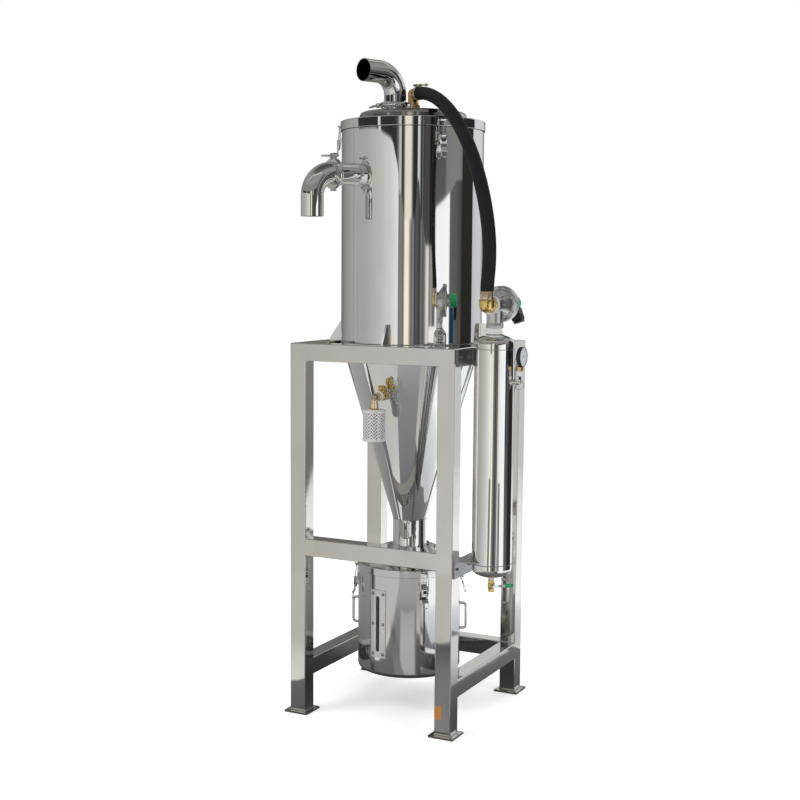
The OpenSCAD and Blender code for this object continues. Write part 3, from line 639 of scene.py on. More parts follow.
def makeShellWelds():
    # seams where the round parts are joined
    bm = bmesh.new()
    bead(bm, shift(z=frameTop + 0.5), bodyR + 0.2, 1.5, 480, 0.35)
    bead(bm, shift(z=neckTop), neckR + 0.1, 1.3, 160, 0.3)
    bead(bm, shift(z=rimTop + 0.4), coverR + 0.4, 1.3, 320, 0.25)
    for turn in range(4):
        for side in (-1, 1):
            place = facing(90 * turn + 9 * side, bodyR + 1, frameTop)
            ball(bm, place, 3.4, 14, 0.6)
            ball(bm, place @ shift(y=7 * side), 2.8, 14, 0.6)
    finishPiece("shellWelds", bm, "polished_steel", finish="weld")


studSet = {"directions": (28, 73, 151, 208, 262, 331), "out": 9, "radius": 5, "nut": 3.6, "cap": 4}


def makeLidStuds():
    # cap nuts round the top cover
    bm = bmesh.new()
    for direction in studSet["directions"]:
        place = facing(direction, coverR + studSet["out"], rimTop)
        hexBody(bm, place, studSet["radius"], studSet["nut"])
        ball(bm, place @ shift(z=studSet["nut"]), studSet["cap"], 16, 0.8)
    finishPiece("lidStuds", bm, "latch_steel")


makeLidRim()
makeLidGasket()
makeShellWelds()
makeLidStuds()

flangeLow, flangeHigh = inMm(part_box("neck_flange"))
flangeSet = {"bolts": 8, "circle": 82, "head": 8, "stud": 3.6, "plate": 11, "gap": 0.4, "ease": 0.8}


def makeNeckFlange():
    bm = bmesh.new()
    centre = (flangeLow.z + flangeHigh.z) / 2
    inner, radius = neckR - 3, flangeHigh.x
    ease, plate = flangeSet["ease"], flangeSet["plate"]
    for low in (centre - plate, centre + flangeSet["gap"]):
        high = low + plate - flangeSet["gap"]
        lathe(bm, [(inner, low), (radius - ease, low), (radius, low + ease), (radius, high - ease),
                   (radius - ease, high), (inner, high)], steps=128)
    for i in range(flangeSet["bolts"]):
        turn = turned((i + 0.5) * 360 / flangeSet["bolts"], "Z") @ shift(flangeSet["circle"])
        top = turn @ shift(z=centre + plate)
        boltHead(bm, top, flangeSet["head"])
        rod(bm, (0, 0, 5), (0, 0, flangeHigh.z + 1 - centre - plate), flangeSet["stud"], 12, top)
        boltHead(bm, turn @ shift(z=centre - plate) @ turned(180, "X"), flangeSet["head"])
    finishPiece("neckFlange", bm, "frame_steel", ("neck_flange",), smooth=40)
    bm = bmesh.new()
    ringBand(bm, shift(z=centre + 0.1), inner, radius - 1, 0.4, 96)
    finishPiece("flangeGasket", bm, "rubber")


makeNeckFlange()
print("shells made")


# Inlet and outlet: seams on the elbows, a clamp with a wing nut on each pair of ferrules

clampSet = {"bore": 44, "radius": 53, "half": 8.5, "lip": 3.5, "gap": 9, "ear": 17, "earThick": 5,
            "earAt": 7.5, "bolt": 3, "boltLow": -22, "boltHigh": 26, "head": 4, "wing": 29, "wingAt": 10,
            "wingWire": 2.7, "hinge": (7, 14), "pin": 2.4,
            # a wing's line in steps of its reach
            "wingLine": [(0.16, 0.1), (0.5, -0.04), (0.95, 0.1), (1.05, 0.5), (0.85, 0.85), (0.5, 0.72),
                         (0.18, 0.4)]}


def wingNut(bm, where):
    # a hub with two open wings along local X, bent outwards
    reach = clampSet["wing"]
    solid(bm, [(7.5, 0), (6, 10), (4.5, 11)], where, 20)
    for side in (-1, 1):
        points = [(side * x * reach, 0, z * reach) for x, z in clampSet["wingLine"]]
        bentRod(bm, points, 0.2 * reach, clampSet["wingWire"], 10, where, 4)


def pipeClamp(bm, where, wingTurn):
    # local Z is the pipe's axis and local +X the side of the bolt
    edge, half, lip = clampSet["radius"], clampSet["half"], clampSet["lip"]
    bore, gap = clampSet["bore"], clampSet["gap"]
    lower = [(bore, -half), (edge - lip, -half), (edge - 0.6, 1.2 * lip - half), (edge, 1.7 * lip - half)]
    outline = lower + [(radius, -z) for radius, z in reversed(lower)]
    lathe(bm, outline, where, 88, start=gap, turn=360 - 2 * gap)
    bolt = where @ shift(edge + 0.35 * clampSet["ear"])
    for side in (-1, 1):
        ear = bolt @ shift(y=side * clampSet["earAt"])
        block(bm, (clampSet["ear"], clampSet["earThick"], 1.5 * half), ear)
        outside = ear @ turned(-90 * side, "X") @ shift(z=clampSet["earThick"] / 2)
        solid(bm, [(0.75 * half, 0), (0.75 * half, 1.2)], outside, 20)
    low, head = clampSet["boltLow"], clampSet["head"]
    rod(bm, (0, low, 0), (0, clampSet["boltHigh"], 0), clampSet["bolt"], 16, bolt)
    rod(bm, (0, low, -1.5 * head), (0, low, 1.5 * head), head, 16, bolt)
    wingNut(bm, bolt @ shift(y=clampSet["wingAt"]) @ turned(-90, "X") @ turned(wingTurn, "Z"))
    hinge = where @ shift(-edge)
    block(bm, (*clampSet["hinge"], 1.3 * half), hinge)
    for side in (-1, 1):
        rod(bm, (-3, side * 5, -half), (-3, side * 5, half), clampSet["pin"], 14, hinge)


inletSet = {"direction": -26, "out": 86.5, "seam": 8}
outletSet = {"direction": -22.3, "off": 82, "ear": -63, "seam": 32}
inletLow, inletHigh = inMm(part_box("inlet_stub"))
inletZ = (inletHigh.z + inletLow.z) / 2
inletFace = bodyR + inletSet["out"]
outletFace = inMm(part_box("outlet_stub"))[1].z
outletPlace = shift(*along(outletSet["direction"], outletSet["off"], outletFace))
pipeR = 38


def makeClamps():
    bm = bmesh.new()
    where = facing(inletSet["direction"], inletFace, inletZ) @ turned(-90, "Y")
    pipeClamp(bm, where @ Matrix.Scale(-1, 4, (0, 1, 0)), 90)
    finishPiece("inletClamp", bm, "latch_steel", ("inlet_clamp",), bevel=0.5, smooth=40)
    bm = bmesh.new()
    pipeClamp(bm, outletPlace @ turned(outletSet["ear"] - 90, "Z"), 20)
    finishPiece("outletClamp", bm, "latch_steel", ("outlet_clamp",), bevel=0.5, smooth=40)


def makePipeSeams():
    # weld seams where the bends meet the straight pipes, and where the pipes meet the body and the lid
    bm = bmesh.new()
    for out, wider, size, ripple in ((inletFace + inletSet["seam"], 0, 0.7, 0.2), (bodyR - 4, 1, 2, 0.3)):
        where = facing(inletSet["direction"], out, inletZ) @ turned(90, "Y")
        bead(bm, where, pipeR + wider, size, 96, ripple)
    upright = outletPlace @ turned(outletSet["direction"] - 90, "Z")
    for rise, wider, size, ripple in ((outletSet["seam"], 0, 0.7, 0.2),
                                      (coverTop - outletFace + 0.8, 0.8, 1.8, 0.3)):
        bead(bm, upright @ shift(z=rise), pipeR + wider, size, 96, ripple)
    finishPiece("pipeWelds", bm, "polished_steel", finish="weld")


makeClamps()
makePipeSeams()
print("pipes made")


# Toggle latches: a plate with a knuckle, a lever with a curved tail and a wire loop

latchSet = {"off": 14.5, "half": 22, "low": 31, "high": 14, "plate": 2.5, "ear": 8, "knuckle": 5, "wire": 2,
            "screws": (-25, 8), "toggle": 14, "cheek": 2.4, "cheekAt": 9, "loopHalf": 15, "barIn": 5.5,
            "ringHalf": 10, "ringDrop": 20}
# the lever in steps of the toggle: a cheek's lower edge and the line of the plate between the cheeks
cheekLine = [(-1, -0.5), (-0.9, -1), (-0.55, -1.7), (0.1, -2.1), (0.8, -2.1), (0.9, -1.5), (1, -1)]
tailLine = [(3.6, -0.5), (3.9, -1.2), (3.4, -1.8), (3.2, -2.3), (4.4, -2.9), (7.4, -3.4), (10.6, -3.72)]


def latchBase(bm, where):
    # the plate is curved like the shell; a knuckle stands off it on two bent plates
    reach, ear, knuckle = latchSet["off"], latchSet["ear"], latchSet["knuckle"]
    shell = where.translation.xy.length - reach
    pivotZ = where.translation.z
    swing = math.degrees(latchSet["half"] / shell)
    direction = math.degrees(math.atan2(where.translation.y, where.translation.x))
    low, high = pivotZ - latchSet["low"], pivotZ + latchSet["high"]
    outer = shell + latchSet["plate"]
    lathe(bm, [(shell, low), (outer - 0.6, low), (outer, low + 0.6), (outer, high - 0.6),
               (outer - 0.6, high), (shell, high)], Matrix(), 10, start=direction - swing, turn=2 * swing)
    for side in (-1, 1):
        for z in latchSet["screws"]:
            spot = turned(side * (swing - 1.3), "Z") @ where @ shift(latchSet["plate"] - reach, 0, z)
            panHead(bm, spot @ turned(90, "Y"), 3)
    rod(bm, (0, -ear, 0), (0, ear, 0), knuckle, 24, where)
    for path in ([(1.5 - reach, -18), (2.2 - reach, -8), (-0.5 * reach, -1), (-1, knuckle - 1.2)],
                 [(1.5 - reach, 9), (-0.45 * reach, 4), (-1, knuckle - 1.2)]):
        strip(bm, path, 2.2, 2 * ear, where)
    pin = latchSet["cheekAt"] + latchSet["cheek"] + 1.4
    rod(bm, (0, -pin, 0), (0, pin, 0), latchSet["wire"], 16, where)


def leverCheek(bm, where, side):
    knuckle, cheek = latchSet["knuckle"], latchSet["cheek"]
    outline = [(knuckle * math.cos(rad(a)), knuckle * math.sin(rad(a))) for a in range(0, 181, 20)]
    outline += [(knuckle * x, latchSet["toggle"] * z) for x, z in cheekLine]
    place = where @ shift(y=side * (latchSet["cheekAt"] + cheek / 2)) @ turned(90, "X")
    prism(bm, outline, -cheek / 2, cheek / 2, place)


def makeLever(name, where):
    # two cheeks bridged by a plate that curls outwards into the finger tail
    bm = bmesh.new()
    toggle, inside = latchSet["toggle"], latchSet["cheekAt"]
    for side in (-1, 1):
        leverCheek(bm, where, side)
    tail = [(point.x, point.y) for point in rounded([(x, toggle * z) for x, z in tailLine], 5, 3)]
    strip(bm, tail, 1.8, 2 * inside + 4, where)
    wide, drop = latchSet["ringHalf"], latchSet["ringDrop"]
    end = where @ shift(10.2, 0, -3.7 * toggle)
    rod(bm, (0, -12.4, 0), (0, 12.4, 0), 1.8, 12, end)
    bentRod(bm, [(0, -wide, 0), (2, -wide, -drop), (2, wide, -drop), (0, wide, 0)], wide, 1.5, 10, end)
    for side in (-1, 1):
        ball(bm, where @ shift(y=side * (inside + latchSet["cheek"])), 3, 14, 0.7)
    for step in (0.62, 1.62):
        block(bm, (2.4, 2 * inside, 2.2), where @ shift(4.6, 0, -step * toggle))
    label = name.replace("_", "")
    finishPiece(label + "Plate", bm, "latch_steel", (name,), name, 0.4, 38)
    # a near-black block fills the lever's opening between the cross bars: painted shade where only shade falls
    bm = bmesh.new()
    block(bm, (1.6, 1.3 * inside, 0.72 * toggle), where @ shift(4.6, 0, -1.12 * toggle))
    finishPiece(label + "Gap", bm, "latch_steel", body=name, finish="dark")


def makeLoop(name):
    bm = bmesh.new()
    where = outwardAt(name + "_turn")
    run = inMm(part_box(name))[1].z - latchSet["wire"] - where.translation.z
    wide, within = latchSet["loopHalf"], -latchSet["barIn"]
    side = [(0, latchSet["cheekAt"] + 0.6, 0), (0, wide, 0), (0.35 * within, wide, 0.3 * run),
            (within, 0.86 * wide, run)]
    points = [(x, -y, z) for x, y, z in side] + list(reversed(side))
    bentRod(bm, points, 6, latchSet["wire"], 12, where, 5)
    finishPiece(name.replace("_", "") + "Wire", bm, "latch_steel", (name,), name)


def makeLatches():
    bm = bmesh.new()
    for where in latches["lid"] + latches["drum"]:
        latchBase(bm, where)
    finishPiece("latchPlates", bm, "latch_steel", ("latch_bases",), bevel=0.3, smooth=38)
    for group, places in latches.items():
        for index, where in enumerate(places):
            makeLever("%s_lever_%d" % (group, index + 1), where)
            makeLoop("%s_loop_%d" % (group, index + 1))


makeLatches()
print("latches made")


# Hose between the valve and the lid, its clamp and the brass pieces at its ends

tankLow, tankHigh = inMm(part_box("air_tank"))
tankX, tankY = (tankLow.x + tankHigh.x) / 2, (tankLow.y + tankHigh.y) / 2
tankR = (tankHigh.x - tankLow.x) / 2
peakZ = inMm(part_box("tank_ends"))[1].z
elbowLow, elbowHigh = inMm(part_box("valve_elbow"))
elbowR = (elbowHigh.x - elbowLow.x) / 2
valveZ = elbowLow.z + elbowR
elbowY = elbowLow.y + elbowR
bossLow, bossHigh = inMm(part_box("lid_boss"))

hoseSet = {"radius": 22, "direction": 59, "reach": 22, "handle": 110, "sides": 28, "steps": 90,
           "bow": (49.5, 534.5, -18), "low": (99, -122, 120), "lead": 67, "rise": 65}
hoseStart = Vector((tankX, elbowY, elbowHigh.z))
hoseEnd = along(hoseSet["direction"], hoseSet["reach"], coverTop + hoseSet["rise"])
hosePoints = [
    hoseStart,
    hoseStart + Vector((0, 0, hoseSet["handle"])),
    hoseStart + Vector(hoseSet["low"]),
    along(hoseSet["bow"][0], hoseSet["bow"][1], hoseEnd.z + hoseSet["bow"][2]),
    hoseEnd + along(hoseSet["direction"], hoseSet["lead"]),
    hoseEnd,
]


def curvePoint(points, u):
    points = list(points)
    while len(points) > 1:
        points = [a.lerp(b, u) for a, b in zip(points, points[1:])]
    return points[0]


def makeHose():
    bm = bmesh.new()
    steps = hoseSet["steps"]
    line = [curvePoint(hosePoints, i / steps) for i in range(steps + 1)]
    sweep(bm, line, hoseSet["radius"], hoseSet["sides"])
    finishPiece("hoseTube", bm, "rubber", ("hose",), smooth=60)


bandSet = {"at": 0.965, "turn": -6, "half": 7, "thick": 1.6, "lap": 0.8, "eyeOut": 5, "eyeAt": 8,
           "eye": 4.6, "bolt": 2.6, "boltEnds": (-17, 38), "nutAt": 27, "headAt": -15}


def makeHoseClamp():
    # a yellow-zinc band at the lid's end, closed by a bolt between two rolled eyes
    bm = bmesh.new()
    u = bandSet["at"]
    ahead = curvePoint(hosePoints, u + 0.01) - curvePoint(hosePoints, u - 0.01)
    where = aim(curvePoint(hosePoints, u), ahead, bandSet["turn"])
    band, wide, thick = hoseSet["radius"] + 0.1, bandSet["half"], bandSet["thick"]
    ringBand(bm, where, band, band + thick, wide, 56)
    ringBand(bm, where, band + thick, band + thick + bandSet["lap"], wide - 1, 14, start=10, turn=80)
    bolt = where @ shift(band + bandSet["eyeOut"])
    for side in (-1, 1):
        eye = side * bandSet["eyeAt"]
        rod(bm, (0, eye, -wide), (0, eye, wide), bandSet["eye"], 14, bolt)
        block(bm, (6, 3, 2 * wide), bolt @ shift(-3, side * 6, 0))
    start, end = bandSet["boltEnds"]
    rod(bm, (0, start, 0), (0, end, 0), bandSet["bolt"], 14, bolt)
    hexBody(bm, bolt @ shift(y=bandSet["nutAt"]) @ turned(-90, "X"), 5.4, 6)
    hexBody(bm, bolt @ shift(y=bandSet["headAt"]) @ turned(90, "X"), 5, 4)
    finishPiece("hoseBand", bm, "latch_steel", ("hose_clamp",), bevel=0.3, finish="zinc")


def makeLidElbow():
    # hexagon boss, tape, a forged square-cornered elbow and its hose tail
    bossZ, top, wide = bossLow.z, bossHigh.z, bossHigh.x
    tape = [(0.96 * wide, bossZ), (0.96 * wide, bossZ + 7), (0.86 * wide, bossZ + 9)]
    solidPiece("lidBossTape", "white_plastic", tape, Matrix(), 48)
    bm = bmesh.new()
    hexBody(bm, shift(z=bossZ + 9) @ turned(12, "Z"), wide, top - bossZ - 9)
    solid(bm, [(20, top - 1), (20, top + 8), (18.5, top + 10), (18.5, hoseEnd.z)], Matrix(), 48)
    ball(bm, shift(z=hoseEnd.z), 19, 36)
    out = facing(hoseSet["direction"], 0, hoseEnd.z) @ turned(90, "Y")
    solid(bm, [(18.5, 0), (18.5, 12), (20, 13), (20, 19), (17, 21), (17, 26)], out, 40)
    finishPiece("lidElbow", bm, "brass", ("lid_boss", "lid_hose_elbow"), smooth=40)


def makeValveElbow():
    # copper sleeve under the hose, brass elbow with a hexagon collar against the valve
    place = shift(tankX, elbowY, valveZ)
    top = elbowHigh.z - valveZ
    solidPiece("copperSleeve", "copper", [(22.5, 17), (22.5, top - 3), (20.5, top)], place, 48, smooth=40)
    bm = bmesh.new()
    profile = [(elbowR * math.cos(rad(a)), elbowR * math.sin(rad(a))) for a in range(-90, 1, 9)]
    profile[0] = (0, -elbowR)
    profile += [(elbowR, 14), (elbowR - 1.2, 18), (0, 18)]
    lathe(bm, profile, place, 48, closed=False)
    inward = place @ turned(-90, "X")
    reach = elbowHigh.y - elbowY
    solid(bm, [(elbowR - 1.5, 0), (elbowR - 1.5, reach - 8), (elbowR - 0.5, reach - 7),
               (elbowR - 0.5, reach)], inward, 48)
    hexBody(bm, inward @ shift(z=reach - 7) @ turned(15, "Z"), 28, 8)
    finishPiece("valveElbow", bm, "brass", ("valve_elbow",), smooth=40)


makeHose()
makeHoseClamp()
makeLidElbow()
makeValveElbow()
print("hose made")


# Air tank: welds, brackets' bolts, the white collar

tankSet = {"bead": 1.2, "turns": 5, "bolt": 4.6, "upperBolt": 26, "upperAt": (-38, 22), "lowPlate": 63,
           "lowBolt": 34, "lowAt": (-48, 48), "upperSeam": 50, "lowSeam": 6, "edge": 0.9}
tankAxis = shift(tankX, tankY, 0)
collarLow, collarHigh = inMm(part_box("tank_collar"))
collarR = (collarHigh.x - collarLow.x) / 2
lowBracketTop, bracketTop = (corner.z for corner in inMm(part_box("tank_brackets")))
lowBracketTop += tankSet["lowPlate"]


def makeTankWelds():
    bm = bmesh.new()
    for z in (tankLow.z, tankHigh.z):
        bead(bm, tankAxis @ shift(z=z), tankR + 0.1, tankSet["bead"], 240, 0.3)
    bead(bm, tankAxis @ shift(z=peakZ - 2.5), collarR + 1, 1.6, 96, 0.3)
    for z in (bracketTop - tankSet["upperSeam"], lowBracketTop - tankSet["lowSeam"]):
        rod(bm, (-tankR - 0.5, -24, z), (-tankR - 0.5, 24, z), 0.8, 8, tankAxis)
    finishPiece("tankWelds", bm, "polished_steel", finish="weld")


def makeCollar():
    # wound sealing tape: turns of slightly different width
    bm = bmesh.new()
    start = peakZ - 3
    step = (collarHigh.z - start) / tankSet["turns"]
    profile = [(0, start)]
    for i in range(tankSet["turns"]):
        radius = collarR - (0.9 if i % 2 else 0.2)
        z = start + i * step
        profile += [(radius - 0.6, z + 0.05 * step), (radius, z + 0.3 * step), (radius, z + 0.8 * step)]
    profile += [(collarR - 2.2, collarHigh.z), (0, collarHigh.z)]
    lathe(bm, profile, tankAxis, 56, closed=False)
    finishPiece("tankTape", bm, "white_plastic", ("tank_collar",), smooth=50)


def makeBracketBolts():
    bm = bmesh.new()
    upperZ, lowZ = bracketTop - tankSet["upperBolt"], lowBracketTop - tankSet["lowBolt"]
    for z, y in [(upperZ, y) for y in tankSet["upperAt"]] + [(lowZ, y) for y in tankSet["lowAt"]]:
        place = shift(half + 5, tankY + y, z) @ turned(90, "Y")
        boltHead(bm, place, tankSet["bolt"])
        rod(bm, (0, 0, 0), (0, 0, 7), 2.6, 12, place)
    finishPiece("bracketBolts", bm, "latch_steel", smooth=40, finish="screw")


makeTankWelds()
makeCollar()
makeBracketBolts()
easeEdges(frame["nodes"]["tank_brackets"], tankSet["edge"])


# Pulse valve: a casting with a bolted disc, the green coil and its plug

valveLow, valveHigh = inMm(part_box("pulse_valve"))
coilLow, coilHigh = inMm(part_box("valve_coil"))
plugLow, plugHigh = inMm(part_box("coil_plug"))
discR = (valveHigh.x - valveLow.x) / 2
valveSet = {"disc": 33, "thick": 30, "edge": 3, "groove": (1.4, 1.5, 0.7), "port": 37, "portR": 30,
            "bell": [(38, 4), (46, 20), (49, 33)], "bolts": 6, "circle": 52, "boltR": 5.6, "ribs": 8,
            "rib": [(30, -12), (38, 2), (48, 30), (49, 34)], "pilot": 24, "stem": 14, "stemLong": 12}


def makeValve():
    bm = bmesh.new()
    axis = shift(tankX, tankY, valveZ) @ turned(-90, "X")
    disc, edge, port, wide = valveSet["disc"], valveSet["edge"], valveSet["port"], valveSet["portR"]
    middle, far = disc + valveSet["thick"] / 2, disc + valveSet["thick"]
    deep, outer, inner = valveSet["groove"]
    pilot, stem = valveSet["pilot"], valveSet["stem"]
    coilAt = coilLow.y - tankY
    stemAt = coilAt - valveSet["stemLong"]
    solid(bm, [(wide - 3, -port), (wide, 3 - port), (wide, -20), (wide + 2, -12), *valveSet["bell"],
               (discR - edge, disc), (discR, disc + edge), (discR, middle - outer),
               (discR - deep, middle - inner), (discR - deep, middle + inner), (discR, middle + outer),
               (discR, far - edge), (discR - edge, far), (pilot + 7, far), (pilot, far + 5),
               (pilot, stemAt - 2), (pilot - 2, stemAt), (stem, stemAt), (stem, coilAt)], axis, 96)
    for i in range(valveSet["bolts"]):
        turn = axis @ turned((i + 0.5) * 360 / valveSet["bolts"], "Z") @ shift(valveSet["circle"])
        solid(bm, [(6.2, disc - 3), (6.9, disc + 2)], turn, 20)
        hexBody(bm, turn @ shift(z=disc - 3) @ turned(180, "X"), valveSet["boltR"], 4.5)
        hexBody(bm, turn @ shift(z=far), valveSet["boltR"], 5)
    for i in range(valveSet["ribs"]):
        strip(bm, valveSet["rib"], 5, 4, axis @ turned(i * 360 / valveSet["ribs"], "Z"))
    low = valveLow.z
    radius = wide - 1.5
    solid(bm, [(radius, low), (radius, low + 14), (radius - 1.5, low + 17), (radius - 1.5, valveZ)],
          tankAxis, 8, start=22.5)
    solid(bm, [(radius - 1, low + 16), (radius - 1, valveZ)], tankAxis, 48)
    finishPiece("pulseValve", bm, "cast_aluminium", ("pulse_valve",), bevel=0.5, smooth=40)
    tape = [(wide + 1.5, port), (wide + 1.5, port + 5)]
    solidPiece("portTape", "white_plastic", tape, axis @ turned(180, "X"), 48)


coilSet = {"ease": 4, "rings": 5, "nutLong": 7}


def makeCoil():
    # moulded coil with ribs round it and a steel yoke nut at its end
    bm = bmesh.new()
    centre = shift(tankX, coilLow.y, valveZ) @ turned(-90, "X")
    radius = (coilHigh.x - coilLow.x) / 2
    length = coilHigh.y - coilLow.y
    ease, end = coilSet["ease"], length - coilSet["nutLong"]
    solid(bm, [(radius - ease, 0), (radius, ease), (radius, end - ease), (radius - ease, end)], centre, 64)
    for i in range(coilSet["rings"]):
        ringBand(bm, centre @ shift(z=length * (0.25 + 0.1 * i)), radius - 1, radius, 1, 48)
    finishPiece("greenCoil", bm, "green_plastic", ("valve_coil",), smooth=40)
    bm = bmesh.new()
    solid(bm, [(12, end), (12, end + 2)], centre, 32)
    hexBody(bm, centre @ shift(z=end + 2), 9, 5)
    finishPiece("coilNut", bm, "latch_steel")


plugSet = {"wide": 34, "tilt": 20, "top": -20, "bottom": -68, "cap": 9, "screw": 3.4}


def makePlug():
    # square connector leaning out from under the coil, with a stepped cap, its screw and a cable gland
    bm = bmesh.new()
    wide, top, bottom = plugSet["wide"], plugSet["top"], plugSet["bottom"]
    where = shift(tankX, (plugLow.y + plugHigh.y) / 2, valveZ) @ turned(-plugSet["tilt"], "Y")
    step = bottom + plugSet["cap"]
    block(bm, (wide, wide, top - step), where @ shift(z=(top + step) / 2))
    block(bm, (wide - 4, wide - 4, plugSet["cap"]), where @ shift(z=(step + bottom) / 2))
    finishPiece("coilPlug", bm, "black_plastic", ("coil_plug",), bevel=1.6)
    bm = bmesh.new()
    gland = where @ shift(wide / 2 - 1, 0, (top + bottom) / 2 - 4) @ turned(90, "Y")
    solid(bm, [(8, 0), (8, 2), (7, 3)], gland, 24)
    panHead(bm, where @ shift(z=bottom + 0.5) @ turned(180, "X"), plugSet["screw"])
    finishPiece("plugGland", bm, "black_plastic")


makeValve()
makeCoil()
makePlug()
print("valve made")


# Gauge on the tank's side: case, bezel, dial with its scale, needle, glass and the fittings below

gaugeLow, gaugeHigh = inMm(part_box("gauge"))
gaugeX, gaugeY = gaugeHigh.x, (gaugeLow.y + gaugeHigh.y) / 2
gaugeSet = {"case": 31.5, "radius": 32.5, "depth": 16, "dial": 30.2, "start": 225, "sweep": 270,
            "major": 6, "minor": 5, "value": 0.42, "longMark": (4.5, 1.0), "shortMark": (2.4, 0.5),
            "markAt": -2.4, "needle": [(-6, -1.2), (19, -0.3), (19, 0.3), (-6, 1.2)],
            "number": 7, "numberIn": 11, "nut": 10.5}
# local +Z looks out of the dial and local +Y is up
gaugeFace = shift(gaugeX, gaugeY, gaugeHigh.z - gaugeSet["radius"]) @ turned(90, "Z") @ turned(90, "X")


def dialTurn(share):
    return gaugeSet["start"] - gaugeSet["sweep"] * share


def makeGauge():
    radius, case, depth, dial = (gaugeSet[key] for key in ("radius", "case", "depth", "dial"))
    bm = bmesh.new()
    solid(bm, [(case - 5, -depth - 1), (case, -depth + 3), (case, -4), (radius, -4), (radius, -1.5),
               (radius - 1.5, 0), (dial + 1, -0.4), (dial + 0.4, -3)], gaugeFace, 72)
    bottom = gaugeHigh.z - 2 * radius
    stem = shift(gaugeX - depth / 2 - 4, gaugeY)
    rod(bm, (0, 0, bottom - 6), (0, 0, bottom + 0.2 * radius), 6.5, 24, stem)
    block(bm, (14, 14, 12), stem @ shift(z=bottom - 4))
    finishPiece("gaugeCase", bm, "black_plastic", ("gauge",), smooth=40)
    solidPiece("gaugeDial", "white_plastic", [(dial, -2.6), (dial, -2.9)], gaugeFace, 64, finish="dial")
    makeGaugeScale()
    bm = bmesh.new()
    hexBody(bm, stem @ shift(z=gaugeLow.z), gaugeSet["nut"], 13)
    rod(bm, (0, 0, gaugeLow.z + 12), (0, 0, bottom - 8), 8, 24, stem)
    finishPiece("gaugeNut", bm, "brass")


def makeGaugeScale():
    bm = bmesh.new()
    major, minor = gaugeSet["major"], gaugeSet["minor"]
    for i in range(major * minor + 1):
        long, wide = gaugeSet["shortMark" if i % minor else "longMark"]
        place = turned(dialTurn(i / (major * minor)), "Z") @ shift(gaugeSet["dial"] - 2.5 - long / 2)
        block(bm, (long, wide, 0.3), gaugeFace @ place @ shift(z=gaugeSet["markAt"]))
    prism(bm, gaugeSet["needle"], -2.1, -1.7, gaugeFace @ turned(dialTurn(gaugeSet["value"]), "Z"))
    lathe(bm, [(0, -2.3), (2.4, -2.3), (2.4, -1.4), (0, -1.2)], gaugeFace, 24, closed=False)
    finishPiece("gaugeScale", bm, "black_plastic")
    for i in range(major + 1):
        words = bpy.data.curves.new("dialNumber", "FONT")
        words.body = str(2 * i)
        words.size = gaugeSet["number"] * mm
        words.align_x = words.align_y = "CENTER"
        words.extrude = 0.1 * mm
        words.materials.append(slotFinish["black_plastic"])
        number = addObject("dialNumber%d" % (2 * i), words)
        angle, reach = rad(dialTurn(i / major)), gaugeSet["dial"] - gaugeSet["numberIn"]
        place = gaugeFace @ shift(reach * math.cos(angle), reach * math.sin(angle), gaugeSet["markAt"])
        place.translation *= mm
        number.matrix_world = place
        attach(number, "root")


def makeGaugeGlass():
    extraFinish["glass"], tree = nodeMaterial("gaugeGlass")
    setInputs(tree.nodes["Principled BSDF"], Base_Color=(0.95, 0.98, 1, 1), Roughness=0.03, Alpha=0.18,
              Specular_IOR_Level=0.8)
    bm = bmesh.new()
    edge = gaugeSet["dial"] + 0.8
    lathe(bm, [(0, -0.6), (edge, -0.9), (edge, -1.6), (0, -1.4)], gaugeFace, 48, closed=False)
    finishPiece("gaugeGlass", bm, "sight_glass", finish="glass")


pipeSet = {"radius": 9, "elbow": 9.6, "in": 10, "nut": 10, "stem": 7, "tagR": 16, "tagWire": 1.1,
           "tagAt": (2, 3, -9), "tagTilt": (62, 24)}


def makeGaugeFitting():
    # pipe elbow from the tank, a union nut, tape below the brass nut and a wire tag ring
    bm = bmesh.new()
    low, high = inMm(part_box("gauge_fitting"))
    x, y, z = high.x - pipeSet["in"], (low.y + high.y) / 2, low.z + pipeSet["in"]
    radius, rise = pipeSet["radius"], high.z - z
    side = shift(tankX, y, z) @ turned(90, "Y")
    start, end = tankR - 1.2, x - tankX
    lathe(bm, [(radius - 0.5, start), (radius, start), (radius, end), (0, end)], side, 32, closed=False)
    bend = shift(x, y, z)
    ball(bm, bend, pipeSet["elbow"], 28)
    solid(bm, [(radius, 0), (radius, 9)], bend, 32)
    hexBody(bm, bend @ shift(z=8), pipeSet["nut"], 11)
    rod(bm, (0, 0, 18), (0, 0, rise - 2), pipeSet["stem"], 24, bend)
    bead(bm, side @ shift(z=start + 0.5), radius, 1.4, 48, 0.2)
    finishPiece("gaugePipe", bm, "frame_steel", ("gauge_fitting",), smooth=40)
    bm = bmesh.new()
    lathe(bm, [(6.5, 19), (8.6, 20), (9.2, 23), (8.4, rise), (6.5, rise)], bend, 32)
    finishPiece("gaugeTape", bm, "white_plastic")
    bm = bmesh.new()
    tiltX, tiltY = pipeSet["tagTilt"]
    ring = bend @ shift(*pipeSet["tagAt"]) @ turned(tiltX, "X") @ turned(tiltY, "Y")
    line = [ring @ Vector((*point, 0)) for point in polygon(40, pipeSet["tagR"])]
    sweep(bm, line, pipeSet["tagWire"], 8, loop=True)
    finishPiece("tagRing", bm, "latch_steel")


makeGauge()
makeGaugeGlass()
makeGaugeFitting()
print("gauge made")


# Drain valve under the tank with its green lever

